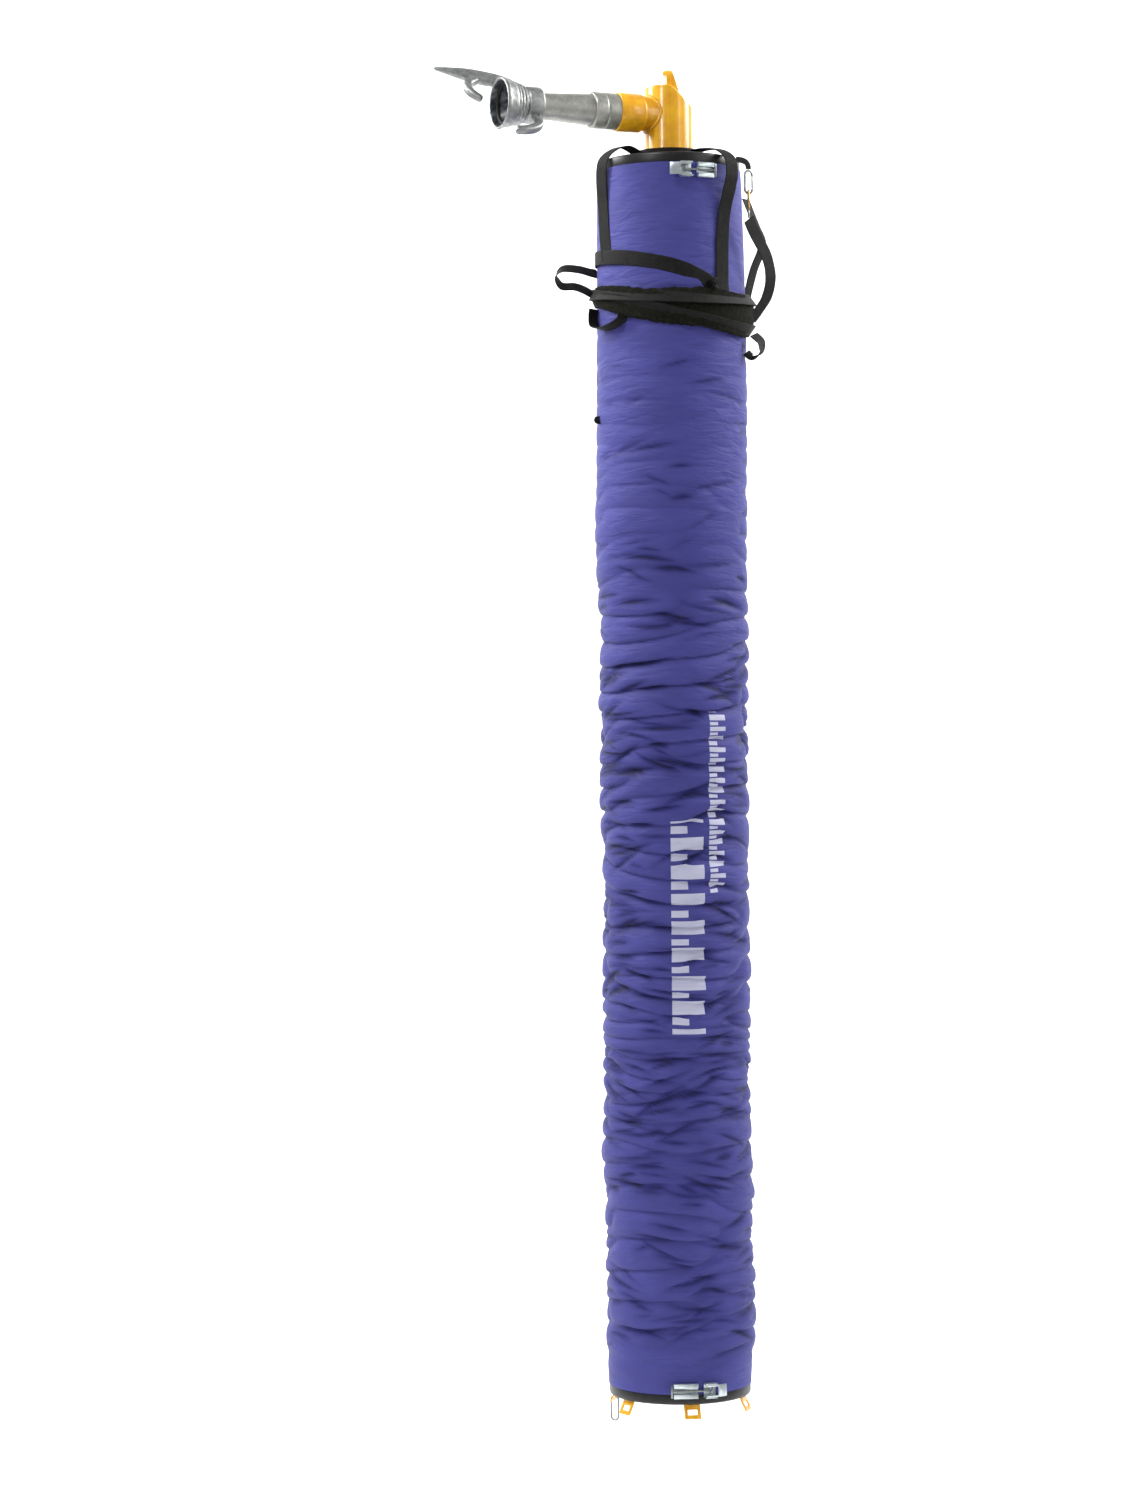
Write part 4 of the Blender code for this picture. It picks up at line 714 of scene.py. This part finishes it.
run = np.concatenate([[0], np.cumsum(np.diff(-height) / (2 * np.interp(-height[1:], fold_z, pillow_pitch)))])
pillow = crumple(11, 1.7, 90, run)
depth = np.interp(-height, fold_z, pillow_depth)[:, None]
valley = np.exp(-np.abs(pillow) / 0.42)
crease, dark = creased(21, CREASES)
left = np.interp(-height, outline_z, outline_left)[:, None]
right = np.interp(-height, outline_z, outline_right)[:, None]
base = (left + right) / 2 + (right - left) / 2 * np.sin(turn)
ends = np.clip(np.minimum(SLEEVE_TOP - height, height - SLEEVE_FOOT) / 0.03, 0, 1)[:, None]
radius = base + ends * (depth * (0.45 - 1.15 * valley + 0.25 * np.abs(pillow)) + 0.001) - ends * crease
# It stays outside the draw bands at both ends and the hose between them.
under = np.interp(-height, (0.186, 0.192, 0.228, 0.245, 2.575, 2.6, 2.697, 2.703),
                  (0.1478, 0.1486, 0.1486, 0.1395, 0.1395, 0.1486, 0.1486, 0.1478))[:, None]
radius = np.maximum(radius, under)
# Crowns hang a little over the creases below them.
sag = 0.7 * (radius - base) * ends
cloth_points = np.stack(
    [radius * np.sin(turn), -radius * np.cos(turn), height[:, None] + 0 * radius - sag], axis=-1
)
# The shade painted into the cloth's colour: 0 on the crowns and 1 in the bottoms of the deepest creases, made of the
# creases' painted shade, their depth and the pillows' valleys.
crease_shade_amount = np.clip(dark + 0.15 * crease / 0.0062 + 0.22 * valley * depth / 0.0066, 0, 1)
lap = cloth_points[:, :LAP_COLUMNS] * np.array([1.012, 1.012, 1.0])
sleeve_points = np.concatenate([cloth_points, lap], axis=1)
sleeve_mesh = surface("cover_sleeve_cloth", sleeve_points, ring=False)
sleeve_mesh.shade_smooth()
across_cloth = (np.arange(COLUMNS + LAP_COLUMNS) * 2 / COLUMNS - 1) * math.pi * CLOTH_RADIUS
cloth_place = np.stack(np.broadcast_arrays(across_cloth[None, :], cut_length[:, None]), axis=-1).reshape(-1, 2)
corner = np.zeros(len(sleeve_mesh.loops), np.int32)
sleeve_mesh.loops.foreach_get("vertex_index", corner)
cloth_uv = sleeve_mesh.uv_layers.new(name="cloth")
cloth_uv.data.foreach_set("uv", cloth_place[corner].astype(np.float32).ravel())
crease_shade_layer = sleeve_mesh.attributes.new("painted_crease_shade", "FLOAT", "POINT")
crease_shade_all = np.concatenate([crease_shade_amount, crease_shade_amount[:, :LAP_COLUMNS]], axis=1)
crease_shade_layer.data.foreach_set("value", crease_shade_all.astype(np.float32).ravel())

# Coated nylon: close plain weave with a silky sheen, its colour painted with shade, lighter on the crowns and nearly
# navy deep in the creases, with a screen-printed pale mark. Threads are 0.4 mm apart, drawn at 3 mm so that they
# show.
nylon, tree, shader = finish_named("coated_nylon_weave", 0.66, **{"Sheen Weight": 0.06, "Sheen Roughness": 0.4})
shader.inputs["Specular IOR Level"].default_value = 0.25
cloth_at = add_node(tree, "UVMap", uv_map="cloth").outputs["UV"]
parts = add_node(tree, "SeparateXYZ", {"Vector": cloth_at})
crease_shade_in = add_node(tree, "Attribute", attribute_name="painted_crease_shade").outputs["Fac"]
# Painted shade: the cloth's colour runs from its crown blue to near navy with the painted crease shade.
crease_shaded_colour = ramped(tree, crease_shade_in, (0.0, "46468F"), (0.25, "3D3D83"), (0.6, "27286A"), last=(1.0, "14153F"))
mottle_at = add_node(tree, "Mapping", {"Vector": cloth_at, "Scale": (9.0, 16.0, 1.0)})
mottle = noise_of(tree, mottle_at.outputs["Vector"], 1.0, 5.0)
fade = add_node(tree, "MapRange", {"Value": mottle, "To Min": 0.78, "To Max": 1.26})
faded = add_node(tree, "HueSaturation", {"Color": crease_shaded_colour, "Value": fade.outputs["Result"]})
# Fine wrinkles lie across the tube: 60 mm long and 14 mm high, with crossing crinkles half that size.
wrinkle_at = add_node(tree, "Mapping", {"Vector": cloth_at, "Scale": (17.0, 62.0, 1.0)})
wrinkle = add_node(tree, "TexNoise", {"Vector": wrinkle_at.outputs["Vector"], "Scale": 1.0, "Detail": 4.0})
wrinkle.inputs["Distortion"].default_value = 0.6
warp = add_node(tree, "TexWave", {"Vector": cloth_at, "Scale": 100.0}, bands_direction="X")
weft = add_node(tree, "TexWave", {"Vector": cloth_at, "Scale": 100.0}, bands_direction="Y")
weave = math_of(tree, "MULTIPLY", warp.outputs["Fac"], weft.outputs["Fac"])
folded = add_node(tree, "Bump", {"Height": wrinkle.outputs["Fac"], "Strength": 0.7, "Distance": 0.006})
woven = add_node(tree, "Bump", {"Height": weave, "Normal": folded.outputs["Normal"]})
woven.inputs["Strength"].default_value = 0.2
woven.inputs["Distance"].default_value = 0.0004
tree.links.new(woven.outputs["Normal"], shader.inputs["Normal"])


def within(value, low, high):
    """1 where the value lies between low and high, otherwise 0."""
    return product(math_of(tree, "GREATER_THAN", value, low), math_of(tree, "LESS_THAN", value, high))


def product(first, second):
    """The two values or sockets multiplied."""
    return math_of(tree, "MULTIPLY", first, second)


def cut_at(level):
    """Length of cloth from the top hem down to that height."""
    return float(np.interp(-level, -height, cut_length))


# The mark is two upright rows of plain bars, a broad one down the front and a narrow one up its right side.
printed = 0.0
across_mark, down_mark = parts.outputs["X"], parts.outputs["Y"]
for near, far, top, low, pitch, bar in (
    (-0.014, 0.054, -1.531, -1.964, 0.078, 0.5),
    (0.067, 0.104, -1.31, -1.677, 0.03, 0.42),
):
    field = product(within(across_mark, near, far), within(down_mark, cut_at(top), cut_at(low)))
    share = math_of(tree, "FRACT", math_of(tree, "DIVIDE", down_mark, pitch))
    bars = product(field, within(share, 0.0, bar))
    half_bar = product(within(across_mark, near, (near + far) / 2), within(share, bar + 0.14, 0.86))
    solid = math_of(tree, "MAXIMUM", bars, product(field, half_bar))
    printed = math_of(tree, "MAXIMUM", printed, solid)
worn = add_node(tree, "MapRange", {"Value": mottle, "From Min": 0.3, "From Max": 0.5, "To Min": 0.8})
inked = mixed(tree, product(printed, worn.outputs["Result"]), faded.outputs["Color"], "C4C5DC")
tree.links.new(inked, shader.inputs["Base Color"])

sleeve = place("cover_sleeve_cloth", sleeve_mesh, nylon, "tube_top", "cover_sleeve")
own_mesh(sleeve)

# ----------------------------------------------------------
# Toggle latches at both ends of the cover: a channel base, a lever on trunnions, a wire bail and a catch. Pressed
# steel, bright zinc plated, riveted to the draw bands' ends.
# ----------------------------------------------------------
for latch in ("top", "foot"):
    for part in ("base", "catch", "lever"):
        refined(f"{latch}_latch_{part}", zinc_plate, 0.0005, 2)
    refined(f"{latch}_latch_bail", bright_steel, 0.0004, 2, 50)

# ----------------------------------------------------------
# Carrying harness: a loop round the neck bush, four straps down the cover, a diagonal, and a bundle wound round
# the tube with its ends standing out. Black nylon webbing 30 mm wide, woven with rolled selvedges and sewn.
# ----------------------------------------------------------
WEBBING_WIDTH = 0.030
WEBBING_THICKNESS = 0.0026
HUG = 0.1521
OVER = -0.161

# Nylon webbing: dull black, with ribs across it, cords along it and grey lint caught in the weave. Ribs and cords
# are about 2 mm apart, drawn at 4 mm and 3 mm so that they show.
webbing, tree, shader, _ = mottled(
    "black_nylon_webbing", 0.7, 0.0, 70.0, 6.0, (0.35, "080808"), (0.75, "181916"), 0.75,
    **{"Specular IOR Level": 0.25},
)
run_at = add_node(tree, "Attribute", attribute_name="run").outputs["Vector"]
ribs = add_node(tree, "TexWave", {"Vector": run_at, "Scale": 78.0}, bands_direction="Z")
cords = add_node(tree, "TexWave", {"Vector": run_at, "Scale": 105.0}, bands_direction="X")
raised(tree, shader, math_of(tree, "MULTIPLY", ribs.outputs["Fac"], cords.outputs["Fac"]), 0.6, 0.0007)


def around(angle, reach, level):
    """Points from their angle in degrees from the front, radius and height."""
    t = np.radians(angle)
    return np.stack(np.broadcast_arrays(reach * np.sin(t), -reach * np.cos(t), level), axis=-1)


def webbed(name, path, across, nodes, width=WEBBING_WIDTH, closed=False, finish=webbing, thick=WEBBING_THICKNESS):
    """A length of webbing along the path, its width held near the across direction, its selvedges rounded and
    its faces rippled by a third of a millimetre every 40 mm or so."""
    length = np.concatenate([[0], np.cumsum(np.linalg.norm(np.diff(path, axis=0), axis=1))])
    ripple = 1 + 0.012 * np.sin(length / 0.0065) + 0.018 * np.sin(length / 0.023 + 1)
    section = oval(width, thick, 5.0, 28)[None] * np.stack([ripple, 2 - ripple], axis=1)[:, None]
    mesh = carried(name, path, section, across, closed)
    piece = place(name, mesh, finish, "tube_top", *nodes)
    return piece


def hanging(name, route, node, lean=0.0):
    """A strap down the tube through (angle, radius, height) points, its width round the tube."""
    rows = smooth_line(route, 8)
    facing = np.radians(rows[:, 0] - lean)
    across = np.stack([np.cos(facing), np.sin(facing), np.zeros(len(rows))], axis=1)
    return webbed(name, around(rows[:, 0], rows[:, 1], rows[:, 2]), across, [node])


neck_turn = np.arange(180, 540, 3.0)
neck_reach = 0.070 + 0.0006 * np.sin(np.radians(5 * neck_turn))
webbed("neck_loop_webbing", around(neck_turn, neck_reach, PLATE_TOP + 0.0109), (0, 0, 1),
       ["harness_neck_loop"], 0.021, True)
hanging("front_left_strap", [(-62, 0.0726, OVER + 0.01), (-62, 0.105, OVER + 0.022), (-62, 0.135, OVER + 0.012),
                             (-62, 0.1575, OVER - 0.012), (-63, 0.1595, -0.215), (-63, 0.1565, -0.26),
                             (-62, 0.156, -0.3), (-60, 0.1555, -0.345), (-58, 0.155, -0.376)],
        "harness_strap_front_left", -16.0)
hanging("front_right_strap", [(46, 0.0726, OVER + 0.012), (46, 0.105, OVER + 0.012), (46, 0.14, OVER + 0.006),
                              (46, 0.168, OVER - 0.014), (46, 0.174, -0.205), (45, 0.17, -0.235),
                              (43, 0.16, -0.285), (41, 0.158, -0.35), (40, 0.16, -0.418), (39, 0.164, -0.448)],
        "harness_strap_front_right", 12.0)
hanging("back_left_strap", [(-112, 0.0726, OVER + 0.008), (-112, 0.11, OVER + 0.01), (-112, 0.145, OVER + 0.002),
                            (-112, 0.156, OVER - 0.016), (-112, 0.155, -0.215), (-112, HUG, -0.26),
                            (-112, HUG, -0.36), (-112, HUG, -0.406)], "harness_strap_back_left")
hanging("back_right_strap", [(140, 0.0726, OVER + 0.008), (140, 0.11, OVER + 0.01), (140, 0.145, OVER + 0.002),
                             (140, 0.156, OVER - 0.016), (138, 0.155, -0.215), (136, HUG, -0.26),
                             (134, HUG, -0.36), (134, HUG, -0.412)], "harness_strap_back_right")
diagonal = smooth_line([(-96, 0.154, -0.366), (-76, 0.157, -0.368), (-62, 0.158, -0.371), (-48, 0.1565, -0.375),
                        (-34, HUG + 0.002, -0.38), (-20, HUG + 0.0015, -0.387), (-6, HUG + 0.0015, -0.395),
                        (8, HUG + 0.0015, -0.406), (22, HUG + 0.002, -0.422),
                        (34, HUG + 0.0055, -0.44)], 8)
webbed("diagonal_strap", around(diagonal[:, 0], diagonal[:, 1], diagonal[:, 2]), (0, 0, 1), ["harness_diagonal"])


def bundle_centre(angle):
    return -0.465 - 0.026 * np.cos(np.radians(angle - 50))


def bundle_half(angle):
    return 0.030 + 0.012 * np.cos(np.radians(angle - 60))


def bundle_outer(angle):
    return 0.168 + 0.006 * np.cos(np.radians(angle - 80))


# The bundle: a twisted, fleecy core of rolled webbing with two flat turns wound over it at different slopes.
bundle_turn = np.arange(180, 540, 2.5)
core_t = np.linspace(0, 2 * math.pi, 36, endpoint=False)[None, :]
core_half = bundle_half(bundle_turn)[:, None]
core_deep = (bundle_outer(bundle_turn)[:, None] - 0.1512) / 2
lobes = 1 + 0.13 * np.cos(3 * core_t + np.radians(bundle_turn)[:, None] * 4)
fuzz = np.random.default_rng(8).normal(0, 0.035, lobes.shape)
lobes = lobes + fuzz
core_section = np.stack([core_half * 0.98 * np.sin(core_t) * lobes, core_deep * np.cos(core_t) * lobes], axis=-1)
core_path = around(bundle_turn, (bundle_outer(bundle_turn) + 0.1512) / 2, bundle_centre(bundle_turn))
# Fleecy pile of teased nylon: brown-black and rougher than the webbing, clumped every few millimetres.
fleece, tree, shader, clump = mottled(
    "teased_nylon_pile", 0.95, 0.0, 130.0, 7.0, (0.35, "080807"), (0.75, "26261D"), 0.8,
    **{"Specular IOR Level": 0.15},
)
raised(tree, shader, clump, 0.9, 0.003)
core_mesh = carried("bundle_core", core_path, core_section, (0, 0, 1), closed=True)
place("bundle_core", core_mesh, fleece, "tube_top", "harness_wrap")
bundle_t = np.radians(bundle_turn)
for index, (rise, swing, phase, stand_off, tilt) in enumerate(
    ((0.62, 0.22, -0.6, 0.0004, 0.35), (-0.3, 0.5, 3.4, -0.0012, -0.3))
):
    slope = rise + swing * np.sin(bundle_t + phase)
    level = bundle_centre(bundle_turn) + bundle_half(bundle_turn) * slope
    bulge = np.sqrt(np.clip(1 - (0.8 * slope) ** 2, 0.1, 1))
    reach = 0.1512 + (bundle_outer(bundle_turn) - 0.1512) * (0.35 + 0.65 * bulge) + stand_off
    outward = np.stack([np.sin(bundle_t), -np.cos(bundle_t), 0 * bundle_t], axis=1)
    across = UP - outward * (tilt + 0.5 * slope[:, None])
    webbed(f"bundle_turn_{index + 1}", around(bundle_turn, reach, level), across, ["harness_wrap"], 0.029, True)

# Knot where the front right strap goes into the bundle, and the ends that stand out at both sides.
knot_t = np.linspace(0, 2 * math.pi, 60, endpoint=False)
knot_wave = np.stack([0.0085 * np.sin(knot_t) + 0.004 * np.sin(2 * knot_t), 0.0075 * np.cos(knot_t),
                      0.006 * np.cos(2 * knot_t + 0.6)], axis=1)
knot_centre = around(31, 0.1645, bundle_centre(31) + bundle_half(31) + 0.012)
knot_path = knot_centre + knot_wave[:, :1] * np.array([0.857, 0.515, 0]) + knot_wave[:, 1:2] * UP + (
    knot_wave[:, 2:] * np.array([0.515, -0.857, 0])
)
webbed("harness_knot_webbing", knot_path, knot_path - knot_centre + UP * 0.002, ["harness_knot"], 0.012, True)
tab = smooth_line([(0.1346, -0.1075, -0.177), (0.146, -0.1005, -0.1773), (0.1555, -0.0958, -0.1812),
                   (0.1595, -0.0943, -0.1885), (0.16, -0.094, -0.1949)], 6)
tab_twist = np.linspace(0, 1, len(tab))[:, None]
webbed("ring_tab", tab, UP * (1 - tab_twist) + np.array([0.906, 0.423, 0.0]) * tab_twist, ["harness_tab"], 0.012)
for name, node, points, lean in (
    ("left_loop", "harness_loop_left",
     [(-0.15, 0.004, -0.394), (-0.1655, -0.004, -0.392), (-0.19, -0.01, -0.386), (-0.222, -0.014, -0.385),
      (-0.236, -0.014, -0.4), (-0.226, -0.012, -0.42), (-0.2, -0.01, -0.4215), (-0.18, -0.008, -0.428),
      (-0.16, -0.004, -0.439)],
     (0.15, 0.8, 0.6)),
    ("low_left_loop", "harness_loop_low_left",
     around(np.array([-78, -78, -71, -58, -46, -39, -38.0]),
            np.array([0.16, 0.162, 0.165, 0.166, 0.165, 0.163, 0.161]),
            np.array([-0.4721, -0.492, -0.512, -0.52, -0.515, -0.506, -0.4954])),
     (-0.83, -0.53, 0.15)),
    ("side_strap", "harness_strap_side",
     [(0.16, -0.094, -0.297), (0.17, -0.082, -0.318), (0.182, -0.068, -0.338), (0.2, -0.05, -0.372),
      (0.207, -0.04, -0.412), (0.199, -0.032, -0.45), (0.18, -0.026, -0.48), (0.168, -0.024, -0.496)],
     (0.75, 0.65, 0.1)),
    ("crossing_strap", "harness_strap_crossing",
     [(0.1599, 0.01, -0.24), (0.178, 0.000, -0.29), (0.192, -0.002, -0.325), (0.19, 0.004, -0.35),
      (0.176, 0.012, -0.385), (0.1645, 0.016, -0.428), (0.16, 0.02, -0.45)], (0.55, 0.8, 0.0)),
    ("low_right_loop", "harness_loop_low_right",
     [(0.1711, -0.0398, -0.528), (0.186, -0.044, -0.545), (0.184, -0.046, -0.566), (0.168, -0.048, -0.576),
      (0.1545, -0.046, -0.566)], (0.45, 0.8, 0.45)),
):
    webbed(name, smooth_line(points, 10), lean, [node], thick=0.0022)
refined("cover_strap_stub", webbing, 0.0015, 2)

# ----------------------------------------------------------
# Snap ring on the harness tab and the trigger hook hanging in it, each with its spring gate. Bent steel wire,
# polished, and a brass casting.
# ----------------------------------------------------------
# Cast brass: warm yellow metal, tarnished brown in patches.
brass = mottled("cast_brass", 0.3, 1.0, 160.0, 4.0, (0.0, "9A6E2C"), (1.0, "E2BE6E"))[0]
for node, finish, slot in (
    ("snap_ring", bright_steel, "bright_steel"), ("snap_ring_gate", bright_steel, "bright_steel"),
    ("trigger_hook_eye", bright_steel, "bright_steel"), ("trigger_hook", brass, "brass"),
    ("trigger_hook_gate", brass, "brass"),
):
    refined(node, finish, 0.0004, 2, 50)

# ----------------------------------------------------------
# Foot: the casting of the top plate again, with a groove for six slotted lugs that hook over its rim and splay,
# and an oblong link hanging in one of them. Lugs are cut steel in the elbow's enamel; the link is bright wire.
# ----------------------------------------------------------
lug_groove = [(0, 0.1351), (0.008, 0.1351), (0.008, 0.141), (0, 0.141)]
end_casting("foot_plate_cast", "foot_plate", FOOT_FACE, 1, 0.06, lug_groove)
for index in range(1, 7):
    refined(f"foot_lug_{index}", enamel, 0.0008, 2)
refined("oblong_link", bright_steel, 0.0004, 2, 50)
